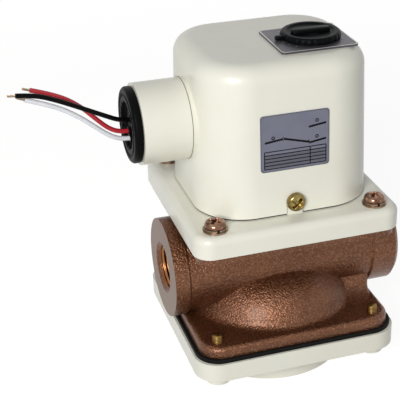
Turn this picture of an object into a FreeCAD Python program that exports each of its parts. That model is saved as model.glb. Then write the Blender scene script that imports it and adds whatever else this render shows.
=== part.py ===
import FreeCAD, Part
# Paddle flow switch for a half-inch line: a cast bronze flow body with a paddle in its chamber, a metal
# bellows that passes the paddle's motion up into a dry switch housing, and a setting knob that loads the
# range spring. Millimetres, +Z up, +X from inlet to outlet, the label on the -Y side. The origin is the
# centre of the round foot under the bottom cover.
import Sketcher
import math
import os

NODE_FOLDER = "parts"

# Driving dimensions. Every value is a cell of the spreadsheet and is read back from it by name.
DRIVING_SIZES = {
    # bottom cover and its fastening
    "foot_radius": 31.9,
    "foot_height": 13.0,
    "bottom_cover_half_x": 43.7,
    "bottom_cover_half_y": 43.3,
    "bottom_cover_corner": 10.2,
    "bottom_cover_thickness": 8.0,
    "bottom_cover_floor": 4.5,
    "lug_radius": 5.0,
    "lug_drop": 3.6,
    "gasket_thickness": 1.8,
    "gasket_inset": 0.9,
    "lower_screw_edge_x": 9.55,
    "lower_screw_edge_y": 8.0,
    "lower_screw_radius": 2.0,
    "lower_screw_head_radius": 3.5,
    "lower_screw_head_height": 2.2,
    "lower_screw_stand_out": 3.2,
    # bronze flow body
    "axis_above_flange": 18.0,
    "flange_inset_x": 2.3,
    "flange_inset_y": 1.9,
    "lower_flange_corner": 9.5,
    "lower_flange_thickness": 4.7,
    "lower_flange_round": 2.2,
    "port_radius": 21.0,
    "tube_step": 0.8,
    "inlet_reach": 46.7,
    "outlet_reach": 52.8,
    "outlet_boss_length": 11.8,
    "inlet_boss_length": 6.0,
    "port_edge": 1.6,
    "thread_radius": 9.315,
    "thread_length": 16.0,
    "mouth_radius": 11.1,
    "mouth_depth": 1.6,
    "passage_radius": 8.7,
    "dome_centre_radius": 10.4,
    "dome_centre_drop": 8.0,
    "dome_foot_room": 5.4,
    "dome_round": 4.0,
    "chamber_radius": 27.0,
    "chamber_waist_radius": 16.0,
    "chamber_roof_radius": 11.0,
    "chamber_roof_rise": 14.5,
    "neck_radius": 19.0,
    "stem_hole_radius": 8.5,
    "seat_rise": 23.9,
    "top_flange_half_x": 41.5,
    "top_flange_half_y": 40.8,
    "top_flange_corner": 6.2,
    "top_flange_thickness": 3.5,
    # switch base and its screws
    "base_half_x": 43.0,
    "base_half_y": 42.3,
    "base_corner": 7.4,
    "base_thickness": 9.0,
    "base_round": 3.0,
    "base_well_radius": 11.0,
    "base_screw_x": 33.5,
    "base_screw_y": 34.6,
    "base_screw_radius": 2.5,
    "base_screw_head_radius": 4.3,
    "base_screw_head_height": 2.5,
    "base_screw_stand_out": 2.2,
    "flat_washer_radius": 5.0,
    "flat_washer_thickness": 0.7,
    "spring_washer_radius": 4.5,
    "spring_washer_thickness": 0.9,
    "screw_hole_clearance": 0.25,
    # switch cover
    "cover_half_x": 36.4,
    "cover_half_y": 33.4,
    "cover_shift_x": 0.66,
    "cover_shift_y": 1.0,
    "cover_corner": 20.7,
    "cover_height": 61.8,
    "cover_draft": 1.5,
    "cover_round": 7.3,
    "cover_wall": 2.5,
    "cover_seal_thickness": 0.6,
    "cover_seal_inset": 0.4,
    "spigot_height": 3.0,
    "spigot_thickness": 2.0,
    "slot_half_width": 3.5,
    "cover_screw_rise": 5.6,
    "cover_screw_radius": 2.0,
    "cover_screw_head_radius": 3.85,
    "cover_screw_head_height": 2.9,
    "cover_screw_length": 9.0,
    "tab_depth": 6.0,
    "fit_gap": 0.3,
    # conduit socket and lead grommet
    "socket_radius": 16.4,
    "socket_reach": 55.3,
    "socket_shift_y": -1.4,
    "socket_rise": 34.3,
    "socket_mouth_radius": 14.0,
    "socket_mouth_depth": 8.5,
    "socket_spigot_radius": 11.0,
    "socket_bore_radius": 8.5,
    "socket_spigot_length": 4.2,
    "locknut_radius": 14.0,
    "locknut_thickness": 3.0,
    "grommet_flange_radius": 15.3,
    "grommet_flange_thickness": 3.6,
    "grommet_recess_radius": 9.5,
    "grommet_recess_depth": 2.0,
    "lead_radius": 0.95,
    "lead_hole_clearance": 0.1,
    # label, dial and setting knob
    "label_half_width": 14.1,
    "label_half_height": 11.65,
    "label_corner": 1.2,
    "label_thickness": 0.4,
    "label_rise": 31.4,
    "label_shift_x": 0.3,
    "dial_half_x": 15.9,
    "dial_half_y": 14.4,
    "dial_corner": 1.4,
    "dial_thickness": 0.8,
    "dial_shift_x": -1.3,
    "dial_shift_y": -0.5,
    "adjuster_x": 16.5,
    "adjuster_y": -5.5,
    "knob_radius": 12.25,
    "knob_height": 2.4,
    "knob_grip_length": 16.0,
    "knob_grip_width": 4.6,
    "knob_grip_height": 0.9,
    "knob_flute_radius": 0.75,
    "pointer_length": 2.6,
    # adjusting screw, spring carrier and range spring
    "adjuster_radius": 2.5,
    "adjuster_bottom_rise": 33.0,
    "shaft_clearance": 0.05,
    "collar_radius": 4.4,
    "collar_thickness": 1.5,
    "seat_radius": 7.2,
    "seat_thickness": 3.0,
    "seat_travel": 3.0,
    "seat_ear_width": 4.0,
    "spring_mean_radius": 5.0,
    "spring_wire_radius": 0.6,
    "spring_length": 24.0,
    "spring_turns": 6.0,
    # sheet-metal frame
    "sheet": 1.5,
    "frame_left": 28.0,
    "frame_screw_edge_left": 4.0,
    "frame_screw_edge_right": 5.0,
    "frame_screw_edge_y": 5.5,
    "frame_screw_depth": 4.5,
    "frame_right": 25.0,
    "frame_half_depth": 19.5,
    "tower_half_width": 5.5,
    "tower_half_depth": 12.0,
    "tower_rise": 52.6,
    "ear_offset": 15.0,
    "ear_half_width": 4.5,
    "pivot_rise": 5.6,
    "pivot_radius": 1.5,
    "frame_screw_radius": 1.5,
    # paddle lever
    "yoke_rise": 9.5,
    "yoke_half_width": 5.5,
    "cheek_offset": 12.5,
    "lever_left": 17.0,
    "lever_right": 8.0,
    "lever_left_half_depth": 4.0,
    "contact_x": 13.0,
    "contact_height": 3.4,
    "stem_radius": 2.5,
    "stem_top_rise": 4.0,
    "paddle_half_width": 11.0,
    "paddle_below_axis": 15.5,
    "paddle_above_axis": 9.5,
    "paddle_thickness": 1.0,
    "paddle_screw_radius": 1.25,
    "paddle_screw_pitch": 9.0,
    # bellows
    "bellows_outer": 9.0,
    "bellows_inner": 6.8,
    "bellows_wall": 0.4,
    "bellows_ring_radius": 17.5,
    "bellows_ring_thickness": 1.5,
    "seal_ring_thickness": 1.0,
    # microswitch
    "micro_length": 27.8,
    "micro_height": 15.9,
    "micro_half_depth": 5.15,
    "micro_left": 25.5,
    "micro_gap": 0.4,
    "plunger_half": 1.6,
    "plunger_stand_out": 1.2,
    "tab_length": 6.4,
    "tab_half_width": 2.4,
    "tab_thickness": 0.8,
    "tab_pitch": 9.5,
    "micro_screw_radius": 1.5,
    "micro_screw_head_radius": 2.75,
    "micro_hole_inset": 2.8,
    # stop screw under the lever
    "stop_gap": 0.3,
    "stop_x": 22.0,
    "stop_radius": 1.5,
}

DOCUMENT = FreeCAD.newDocument("PaddleFlowSwitch")


def fill_sheet():
    """Write every driving size into one named cell and return the sheet."""
    sheet = DOCUMENT.addObject("Spreadsheet::Sheet", "Sizes")
    for row, (alias, number) in enumerate(DRIVING_SIZES.items(), start=1):
        sheet.set(f"A{row}", alias)
        sheet.set(f"B{row}", str(number))
        sheet.setAlias(f"B{row}", alias)
    DOCUMENT.recompute()
    return sheet


SHEET = fill_sheet()


class Size:
    """A size that carries its number and the spreadsheet expression that it comes from."""

    def __init__(self, number, text):
        self.number = number
        self.text = text

    def __float__(self):
        return float(self.number)

    def __add__(self, other):
        other = as_size(other)
        return Size(self.number + other.number, f"({self.text} + {other.text})")

    def __sub__(self, other):
        other = as_size(other)
        return Size(self.number - other.number, f"({self.text} - {other.text})")

    def __mul__(self, other):
        other = as_size(other)
        return Size(self.number * other.number, f"({self.text} * {other.text})")

    def __truediv__(self, other):
        other = as_size(other)
        return Size(self.number / other.number, f"({self.text} / {other.text})")

    def __neg__(self):
        return Size(-self.number, f"(-1 * {self.text})")

    def __radd__(self, other):
        return as_size(other) + self

    def __rsub__(self, other):
        return as_size(other) - self

    def __rmul__(self, other):
        return as_size(other) * self


def as_size(value):
    return value if isinstance(value, Size) else Size(float(value), str(float(value)))


def tangent_of(angle):
    """Tangent of a size held in degrees."""
    return Size(math.tan(math.radians(float(angle))), f"tan({angle.text})")


def hypotenuse(first, second):
    """Long side of the right-angled triangle with these two sides."""
    return Size(math.hypot(float(first), float(second)), f"sqrt(({first.text}) ^ 2 + ({second.text}) ^ 2)")


class Sizes:
    """The spreadsheet's cells by name, as Size values."""

    def __getattr__(self, alias):
        return Size(float(SHEET.get(alias)), f"Sizes.{alias}")


S = Sizes()

# Levels and places that several pieces share, worked out from the driving sizes.
COVER_PLATE_LOW = S.foot_height
COVER_PLATE_TOP = COVER_PLATE_LOW + S.bottom_cover_thickness
FLANGE_LOW = COVER_PLATE_TOP + S.gasket_thickness
FLANGE_TOP = FLANGE_LOW + S.lower_flange_thickness
AXIS_Z = FLANGE_TOP + S.axis_above_flange
DOME_REACH = S.bottom_cover_half_y - S.flange_inset_y - S.dome_foot_room
DOME_ARC_RADIUS = hypotenuse(DOME_REACH - S.dome_centre_radius, S.dome_centre_drop)
SEAT_Z = AXIS_Z + S.seat_rise
TOP_FLANGE_LOW = SEAT_Z - S.top_flange_thickness
BASE_TOP = SEAT_Z + S.base_thickness
COVER_LOW = BASE_TOP + S.cover_seal_thickness
COVER_TOP = COVER_LOW + S.cover_height
COVER_FRONT = S.cover_shift_y - S.cover_half_y
COVER_BACK = S.cover_shift_y + S.cover_half_y
SOCKET_Z = BASE_TOP + S.socket_rise
FRAME_TOP = BASE_TOP + S.sheet
PIVOT_Z = BASE_TOP + S.pivot_rise
YOKE_LOW = PIVOT_Z + S.yoke_rise
YOKE_TOP = YOKE_LOW + S.sheet
BRIDGE_LOW = BASE_TOP + S.tower_rise
SPRING_TOP = YOKE_TOP + S.spring_length
SEAT_TOP = SPRING_TOP + S.seat_thickness
CONTACT_TOP = YOKE_TOP + S.contact_height
MICRO_LOW = CONTACT_TOP + S.micro_gap + S.plunger_stand_out
MICRO_TOP = MICRO_LOW + S.micro_height
TUBE_RADIUS = S.port_radius - S.tube_step
DIAL_TOP = COVER_TOP + S.dial_thickness
KNOB_LOW = DIAL_TOP + S.fit_gap
COVER_SCREW_X = S.cover_shift_x - 0.26
COVER_SCREW_Z = BASE_TOP + S.cover_screw_rise
STEM_HOLE = S.stem_radius + S.shaft_clearance
LUG_LOW = COVER_PLATE_LOW - S.lug_drop
RING_LOW = SEAT_Z + S.seal_ring_thickness
RING_TOP = RING_LOW + S.bellows_ring_thickness
SEAL_RADIUS = S.adjuster_radius * 2
BUSH_RADIUS = S.adjuster_radius * 1.6
LOWER_SCREW_X = S.bottom_cover_half_x - S.lower_screw_edge_x
LOWER_SCREW_Y = S.bottom_cover_half_y - S.lower_screw_edge_y
ADJUSTER_TOP = KNOB_LOW + S.knob_height * 0.5
CAP_LOW = YOKE_LOW - S.sheet
BELLOWS_FOLDS = 5
SOCKET_WALL = S.cover_shift_x - S.cover_half_x + tangent_of(S.cover_draft) * S.socket_rise

NODES = []


def bind(target, **properties):
    """Tie properties of an object to their spreadsheet expressions; a double underscore stands for a dot."""
    for name, value in properties.items():
        path = name.replace("__", ".")
        if isinstance(value, Size):
            target.setExpression(path, value.text)
        elif float(value) != 0.0:
            target.setExpression(path, str(float(value)))


def node(target, label):
    """Name a finished sub-part; the label also names its file."""
    target.Label = label
    NODES.append(target)
    return target


# Part primitives ------------------------------------------------------------------------------------

AXIS_TURNS = {
    "X": FreeCAD.Rotation(FreeCAD.Vector(0, 1, 0), 90),
    "Y": FreeCAD.Rotation(FreeCAD.Vector(1, 0, 0), -90),
    "Z": FreeCAD.Rotation(),
}


def place(target, x, y, z):
    bind(target, Placement__Base__x=x, Placement__Base__y=y, Placement__Base__z=z)


def cylinder(name, radius, low, high, first=0, second=0, axis="Z"):
    """A cylinder from low to high along its axis; first and second are its other two coordinates in order."""
    solid = DOCUMENT.addObject("Part::Cylinder", name)
    solid.Placement = FreeCAD.Placement(FreeCAD.Vector(), AXIS_TURNS[axis])
    bind(solid, Radius=radius, Height=as_size(high) - low)
    spots = {"X": (low, first, second), "Y": (first, low, second), "Z": (first, second, low)}
    place(solid, *spots[axis])
    return solid


def box(name, x, y, z):
    """A box between (low, high) pairs along the three axes."""
    solid = DOCUMENT.addObject("Part::Box", name)
    bind(solid, Length=as_size(x[1]) - x[0], Width=as_size(y[1]) - y[0], Height=as_size(z[1]) - z[0])
    place(solid, x[0], y[0], z[0])
    return solid


def hexagon(name, circumradius, low, high, first=0, second=0, axis="Z"):
    """A six-sided prism laid out like cylinder()."""
    solid = DOCUMENT.addObject("Part::Prism", name)
    solid.Polygon = 6
    solid.Placement = FreeCAD.Placement(FreeCAD.Vector(), AXIS_TURNS[axis])
    bind(solid, Circumradius=circumradius, Height=as_size(high) - low)
    spots = {"X": (low, first, second), "Y": (first, low, second), "Z": (first, second, low)}
    place(solid, *spots[axis])
    return solid


def fuse(name, *solids):
    joined = DOCUMENT.addObject("Part::MultiFuse", name)
    joined.Shapes = list(solids)
    joined.Refine = True
    return joined


def cut(name, base, *tools):
    tool = tools[0] if len(tools) == 1 else fuse(name + "Tools", *tools)
    result = DOCUMENT.addObject("Part::Cut", name)
    result.Base = base
    result.Tool = tool
    return result


def group(name, *solids):
    """Separate solids that share one node."""
    gathered = DOCUMENT.addObject("Part::Compound", name)
    gathered.Links = list(solids)
    return gathered


def mirrored(name, source, normal):
    """A mirror copy through the origin plane with this normal."""
    copy = DOCUMENT.addObject("Part::Mirroring", name)
    copy.Source = source
    copy.Normal = FreeCAD.Vector(*normal)
    return copy


def at_four_corners(name, source):
    """The source and its mirror copies, one in each quarter of the plan."""
    across = mirrored(name + "Right", source, (1, 0, 0))
    behind = mirrored(name + "Back", source, (0, 1, 0))
    opposite = mirrored(name + "BackRight", across, (0, 1, 0))
    return [source, across, behind, opposite]


# PartDesign helpers ---------------------------------------------------------------------------------


def new_body(name):
    return DOCUMENT.addObject("PartDesign::Body", name)


def sketch_on(body, name, role, right=0, up=0, level=0):
    """A sketch on one of the body's own origin planes, shifted in its plane and raised along its normal."""
    sketch = body.newObject("Sketcher::SketchObject", name)
    origin_plane = next(item for item in body.Origin.OriginFeatures if item.Role == role)
    sketch.AttachmentSupport = (origin_plane, [""])
    sketch.MapMode = "FlatFace"
    bind(
        sketch,
        AttachmentOffset__Base__x=right,
        AttachmentOffset__Base__y=up,
        AttachmentOffset__Base__z=level,
    )
    return sketch


def constrain(sketch, kind, *where):
    """Add a constraint; a Size at the end is tied to its expression."""
    value = where[-1]
    if not isinstance(value, Size):
        return sketch.addConstraint(Sketcher.Constraint(kind, *where))
    index = sketch.addConstraint(Sketcher.Constraint(kind, *where[:-1], float(value)))
    sketch.setExpression(f"Constraints[{index}]", value.text)
    return index


def line(sketch, start, end):
    return sketch.addGeometry(Part.LineSegment(FreeCAD.Vector(*start, 0), FreeCAD.Vector(*end, 0)))


def corner_arc(sketch, centre, radius, start_degrees, end_degrees):
    circle = Part.Circle(FreeCAD.Vector(*centre, 0), FreeCAD.Vector(0, 0, 1), radius)
    return sketch.addGeometry(Part.ArcOfCircle(circle, math.radians(start_degrees), math.radians(end_degrees)))


def rounded_rectangle(sketch, half_x, half_y, corner):
    """A rectangle centred on the sketch origin with four equal round corners."""
    hx, hy, r = float(half_x), float(half_y), float(corner)
    line(sketch, (-hx + r, -hy), (hx - r, -hy))
    corner_arc(sketch, (hx - r, -hy + r), r, 270, 360)
    line(sketch, (hx, -hy + r), (hx, hy - r))
    corner_arc(sketch, (hx - r, hy - r), r, 0, 90)
    line(sketch, (hx - r, hy), (-hx + r, hy))
    corner_arc(sketch, (-hx + r, hy - r), r, 90, 180)
    line(sketch, (-hx, hy - r), (-hx, -hy + r))
    corner_arc(sketch, (-hx + r, -hy + r), r, 180, 270)
    for edge in range(8):
        constrain(sketch, "Tangent", edge, 2, (edge + 1) % 8, 1)
    for edge, direction in ((0, "Horizontal"), (4, "Horizontal"), (2, "Vertical"), (6, "Vertical")):
        constrain(sketch, direction, edge)
    for arc in (3, 5, 7):
        constrain(sketch, "Equal", 1, arc)
    constrain(sketch, "Radius", 1, as_size(corner))
    constrain(sketch, "DistanceX", -1, 1, 2, 1, as_size(half_x))
    constrain(sketch, "DistanceX", 6, 1, -1, 1, as_size(half_x))
    constrain(sketch, "DistanceY", -1, 1, 4, 1, as_size(half_y))
    constrain(sketch, "DistanceY", 0, 1, -1, 1, as_size(half_y))


def pin_down(sketch, geometry, point, x, y):
    """Tie one vertex to the sketch origin, by a size each way or onto the axis where it is zero."""
    if float(x) == 0.0 and not isinstance(x, Size):
        constrain(sketch, "PointOnObject", geometry, point, -2)
    else:
        constrain(sketch, "DistanceX", -1, 1, geometry, point, as_size(x))
    if float(y) == 0.0 and not isinstance(y, Size):
        constrain(sketch, "PointOnObject", geometry, point, -1)
    else:
        constrain(sketch, "DistanceY", -1, 1, geometry, point, as_size(y))


def outline(sketch, points):
    """A closed outline of straight edges through the points, each tied to the sketch origin."""
    corners = [(float(x), float(y)) for x, y in points]
    count = len(corners)
    for start in range(count):
        line(sketch, corners[start], corners[(start + 1) % count])
    for edge in range(count):
        constrain(sketch, "Coincident", edge, 2, (edge + 1) % count, 1)
    for edge, (x, y) in enumerate(points):
        pin_down(sketch, edge, 1, x, y)


def circles(sketch, radius, centres):
    """Equal circles at the given places."""
    for index, (x, y) in enumerate(centres):
        spot = FreeCAD.Vector(float(x), float(y), 0)
        sketch.addGeometry(Part.Circle(spot, FreeCAD.Vector(0, 0, 1), float(radius)))
        constrain(sketch, "Radius", index, as_size(radius))
        pin_down(sketch, index, 3, x, y)


def four_corners(x, y):
    return [(-x, -y), (x, -y), (x, y), (-x, y)]


def feature(body, kind, name, sketch, **properties):
    """A PartDesign feature on a sketch."""
    made = body.newObject(f"PartDesign::{kind}", name)
    made.Profile = sketch
    if kind in ("Revolution", "Groove"):
        made.ReferenceAxis = (sketch, [properties.pop("axis")])
        made.Angle = 360.0
    bind(made, **properties)
    return made


def turned(name, points, axis="V_Axis", role="XZ_Plane", right=0, up=0):
    """A body turned from one closed profile round an axis of its sketch."""
    body = new_body(name)
    sketch = sketch_on(body, name + "Profile", role, right, up)
    outline(sketch, points)
    feature(body, "Revolution", name + "Turn", sketch, axis=axis)
    return body


def turned_at(name, points, x, y, z=0):
    """A body turned about its own vertical axis and set down with that axis at (x, y)."""
    body = turned(name, points)
    place(body, x, y, z)
    return body


def edges_where(shape, test):
    """Names of the edges that pass a test."""
    return [f"Edge{index}" for index, edge in enumerate(shape.Edges, start=1) if test(edge)]


def level_edges(shape, z):
    """Names of the edges that lie flat at this height."""
    height = float(z)

    def is_level(edge):
        bounds = edge.BoundBox
        return abs(bounds.ZMin - height) < 1e-4 and abs(bounds.ZMax - height) < 1e-4

    return edges_where(shape, is_level)


def fillet(body, name, base, edges, radius):
    rounding = body.newObject("PartDesign::Fillet", name)
    rounding.Base = (base, edges)
    bind(rounding, Radius=radius)
    DOCUMENT.recompute()
    return rounding


def slab(name, half_x, half_y, corner, low, high, shift_x=0, shift_y=0, draft=None, edge_round=None):
    """A block with round corners in plan, drafted walls and a rounded top edge where those are given."""
    body = new_body(name)
    sketch = sketch_on(body, name + "Plan", "XY_Plane", shift_x, shift_y, low)
    rounded_rectangle(sketch, half_x, half_y, corner)
    block = feature(body, "Pad", name + "Block", sketch, Length=as_size(high) - low)
    if draft is not None:
        bind(block, TaperAngle=-draft)
    if edge_round is not None:
        DOCUMENT.recompute()
        fillet(body, name + "TopEdge", block, level_edges(block.Shape, high), edge_round)
    return body


# Flow side ------------------------------------------------------------------------------------------


def make_flow_body():
    """The cast body: a tube between two threaded ports, a domed chamber over a square lower flange, a neck
    and the square seat of the switch housing."""
    body = new_body("FlowBody")

    lower = sketch_on(body, "LowerFlangePlan", "XY_Plane", level=FLANGE_LOW)
    rounded_rectangle(
        lower,
        S.bottom_cover_half_x - S.flange_inset_x,
        S.bottom_cover_half_y - S.flange_inset_y,
        S.lower_flange_corner,
    )
    lower_flange = feature(body, "Pad", "LowerFlange", lower, Length=S.lower_flange_thickness)
    DOCUMENT.recompute()
    fillet(
        body,
        "LowerFlangeEdge",
        lower_flange,
        level_edges(lower_flange.Shape, FLANGE_TOP),
        S.lower_flange_round,
    )

    tube = sketch_on(body, "TubeProfile", "XZ_Plane", up=AXIS_Z)
    boss_start = S.outlet_reach - S.outlet_boss_length
    boss_end = S.inlet_boss_length - S.inlet_reach
    outline(
        tube,
        [
            (-S.inlet_reach, 0),
            (-S.inlet_reach, S.port_radius),
            (boss_end, S.port_radius),
            (boss_end + S.tube_step, TUBE_RADIUS),
            (boss_start - S.tube_step, TUBE_RADIUS),
            (boss_start, S.port_radius),
            (S.outlet_reach - S.port_edge, S.port_radius),
            (S.outlet_reach, S.port_radius - S.port_edge),
            (S.outlet_reach, 0),
        ],
    )
    feature(body, "Revolution", "Tube", tube, axis="H_Axis")

    dome = sketch_on(body, "DomeProfile", "XZ_Plane")
    make_dome_profile(dome)
    feature(body, "Revolution", "Dome", dome, axis="V_Axis")

    neck = sketch_on(body, "NeckPlan", "XY_Plane", level=AXIS_Z)
    circles(neck, S.neck_radius, [(0, 0)])
    neck_pad = feature(body, "Pad", "Neck", neck, Length=TOP_FLANGE_LOW - AXIS_Z)
    DOCUMENT.recompute()
    fillet(body, "DomeBlend", neck_pad, edges_where(neck_pad.Shape, runs_round_dome), S.dome_round)

    upper = sketch_on(body, "TopFlangePlan", "XY_Plane", level=TOP_FLANGE_LOW)
    rounded_rectangle(upper, S.top_flange_half_x, S.top_flange_half_y, S.top_flange_corner)
    feature(body, "Pad", "TopFlange", upper, Length=S.top_flange_thickness)
    DOCUMENT.recompute()
    return body


def runs_round_dome(edge):
    """True for the four long curves where the dome meets the tube and the flange."""
    bounds = edge.BoundBox
    curved = not isinstance(edge.Curve, Part.Line)
    centred = abs(bounds.XMin + bounds.XMax) < 0.01 and bounds.XLength > float(S.chamber_radius)
    one_side = bounds.YMin * bounds.YMax > 0
    return curved and centred and one_side and abs(bounds.ZMin - float(FLANGE_TOP)) < 0.01


def make_dome_profile(sketch):
    """Half of the dome: flat foot on the flange, a round shoulder and a flat top inside the tube."""
    centre_z = FLANGE_TOP - S.dome_centre_drop
    cx, cz, r = float(S.dome_centre_radius), float(centre_z), float(DOME_ARC_RADIUS)
    low = float(FLANGE_LOW)
    foot = cx + math.sqrt(r * r - (low - cz) ** 2)
    start = math.degrees(math.asin((low - cz) / r))
    line(sketch, (0, low), (foot, low))
    corner_arc(sketch, (cx, cz), r, start, 90)
    line(sketch, (cx, cz + r), (0, cz + r))
    line(sketch, (0, cz + r), (0, low))
    for first, first_end, second, second_end in ((0, 2, 1, 1), (1, 2, 2, 1), (2, 2, 3, 1), (3, 2, 0, 1)):
        constrain(sketch, "Coincident", first, first_end, second, second_end)
    constrain(sketch, "Radius", 1, DOME_ARC_RADIUS)
    pin_down(sketch, 1, 3, S.dome_centre_radius, centre_z)
    pin_down(sketch, 0, 1, 0, FLANGE_LOW)
    constrain(sketch, "Horizontal", 0)
    constrain(sketch, "Horizontal", 2)
    constrain(sketch, "Vertical", 3)
    constrain(sketch, "Vertical", 1, 3, 1, 2)


def finish_flow_body(body):
    """Hollow the casting: chamber, stem hole, passages, thread bores with their mouths, and screw holes."""
    chamber = sketch_on(body, "ChamberProfile", "XZ_Plane")
    roof = AXIS_Z + S.chamber_roof_rise
    outline(
        chamber,
        [
            (0, FLANGE_LOW),
            (S.chamber_radius, FLANGE_LOW),
            (S.chamber_radius, FLANGE_TOP),
            (S.chamber_waist_radius, AXIS_Z),
            (S.chamber_roof_radius, roof),
            (S.stem_hole_radius, roof),
            (S.stem_hole_radius, SEAT_Z),
            (0, SEAT_Z),
        ],
    )
    feature(body, "Groove", "Chamber", chamber, axis="V_Axis")

    ports = sketch_on(body, "PortProfile", "XZ_Plane", up=AXIS_Z)
    outline(
        ports,
        [
            (-S.inlet_reach, 0),
            (-S.inlet_reach, S.mouth_radius),
            (S.mouth_depth - S.inlet_reach, S.thread_radius),
            (S.thread_length - S.inlet_reach, S.thread_radius),
            (S.thread_length - S.inlet_reach, S.passage_radius),
            (S.outlet_reach - S.thread_length, S.passage_radius),
            (S.outlet_reach - S.thread_length, S.thread_radius),
            (S.outlet_reach - S.mouth_depth, S.thread_radius),
            (S.outlet_reach, S.mouth_radius),
            (S.outlet_reach, 0),
        ],
    )
    feature(body, "Groove", "Ports", ports, axis="H_Axis")

    lower_holes = sketch_on(body, "LowerHoles", "XY_Plane", level=FLANGE_TOP)
    circles(lower_holes, S.lower_screw_radius, four_corners(LOWER_SCREW_X, LOWER_SCREW_Y))
    feature(body, "Pocket", "LowerScrewHoles", lower_holes, Length=S.lower_flange_thickness)

    upper_holes = sketch_on(body, "UpperHoles", "XY_Plane", level=SEAT_Z)
    circles(upper_holes, S.base_screw_radius, four_corners(S.base_screw_x, S.base_screw_y))
    feature(body, "Pocket", "UpperScrewHoles", upper_holes, Length=S.top_flange_thickness)
    DOCUMENT.recompute()
    return node(body, "flow_body")


def make_bottom_cover():
    """The painted lower cover: plate, four screw lugs and a hollow round foot."""
    body = new_body("BottomCover")
    plate = sketch_on(body, "CoverPlatePlan", "XY_Plane", level=COVER_PLATE_LOW)
    rounded_rectangle(plate, S.bottom_cover_half_x, S.bottom_cover_half_y, S.bottom_cover_corner)
    feature(body, "Pad", "CoverPlate", plate, Length=S.bottom_cover_thickness)
    foot = sketch_on(body, "FootPlan", "XY_Plane")
    circles(foot, S.foot_radius, [(0, 0)])
    feature(body, "Pad", "Foot", foot, Length=COVER_PLATE_TOP)
    corners = four_corners(LOWER_SCREW_X, LOWER_SCREW_Y)
    lugs = sketch_on(body, "LugPlan", "XY_Plane", level=COVER_PLATE_LOW - S.lug_drop)
    circles(lugs, S.lug_radius, corners)
    feature(body, "Pad", "Lugs", lugs, Length=S.lug_drop + S.bottom_cover_thickness)
    sump = sketch_on(body, "SumpPlan", "XY_Plane", level=COVER_PLATE_TOP)
    circles(sump, S.chamber_radius, [(0, 0)])
    feature(body, "Pocket", "Sump", sump, Length=COVER_PLATE_TOP - S.bottom_cover_floor)
    holes = sketch_on(body, "CoverHoles", "XY_Plane", level=COVER_PLATE_TOP)
    circles(holes, S.lower_screw_radius + S.screw_hole_clearance, corners)
    feature(body, "Pocket", "ScrewHoles", holes, Length=S.lug_drop + S.bottom_cover_thickness)
    sinks = sketch_on(body, "HeadRecesses", "XY_Plane", level=LUG_LOW + S.lower_screw_head_height)
    circles(sinks, S.lower_screw_head_radius + S.screw_hole_clearance, corners)
    feature(body, "Pocket", "HeadSinks", sinks, Length=S.lower_screw_head_height)
    return node(body, "bottom_cover")


def make_bottom_gasket():
    """The black sheet gasket between the flange and the lower cover, cut out round the chamber."""
    half_x = S.bottom_cover_half_x - S.gasket_inset
    half_y = S.bottom_cover_half_y - S.gasket_inset
    sheet = slab("GasketSheet", half_x, half_y, S.bottom_cover_corner, COVER_PLATE_TOP, FLANGE_LOW)
    window = cylinder("GasketWindow", S.chamber_radius, COVER_PLATE_TOP - 1, FLANGE_LOW + 1)
    hole_radius = S.lower_screw_radius + S.screw_hole_clearance
    hole = cylinder(
        "GasketHole", hole_radius, COVER_PLATE_TOP - 1, FLANGE_LOW + 1, -LOWER_SCREW_X, -LOWER_SCREW_Y
    )
    return node(cut("BottomGasket", sheet, window, *at_four_corners("GasketHole", hole)), "bottom_gasket")


def make_bottom_screws():
    """Four socket screws pushed up through the lower cover into the flange, their ends standing above it."""
    top = FLANGE_TOP + S.lower_screw_stand_out
    point = S.lower_screw_radius * 0.25
    screw = turned_at(
        "BottomScrew",
        [
            (0, LUG_LOW),
            (S.lower_screw_head_radius, LUG_LOW),
            (S.lower_screw_head_radius, LUG_LOW + S.lower_screw_head_height),
            (S.lower_screw_radius, LUG_LOW + S.lower_screw_head_height),
            (S.lower_screw_radius, top - point),
            (S.lower_screw_radius - point, top),
            (0, top),
        ],
        -LOWER_SCREW_X,
        -LOWER_SCREW_Y,
    )
    socket = hexagon(
        "BottomScrewSocket",
        S.lower_screw_radius * 0.85,
        LUG_LOW - 1,
        LUG_LOW + S.lower_screw_head_height * 0.6,
        -LOWER_SCREW_X,
        -LOWER_SCREW_Y,
    )
    driven = cut("BottomScrewDriven", screw, socket)
    return node(group("BottomScrews", *at_four_corners("BottomScrewDriven", driven)), "bottom_cover_screws")


# Switch base ----------------------------------------------------------------------------------------


def spigot(name, gap, thickness, low, high):
    """A thin upright wall that follows the inside of the cover at a given gap."""
    outer_x = S.cover_half_x - S.cover_wall - gap
    outer_y = S.cover_half_y - S.cover_wall - gap
    outer_corner = S.cover_corner - S.cover_wall - gap
    outer = slab(
        name + "Outer", outer_x, outer_y, outer_corner, low, high, S.cover_shift_x, S.cover_shift_y
    )
    inner = slab(
        name + "Inner",
        outer_x - thickness,
        outer_y - thickness,
        outer_corner - thickness,
        low - 1,
        high + 1,
        S.cover_shift_x,
        S.cover_shift_y,
    )
    return cut(name, outer, inner)


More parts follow.
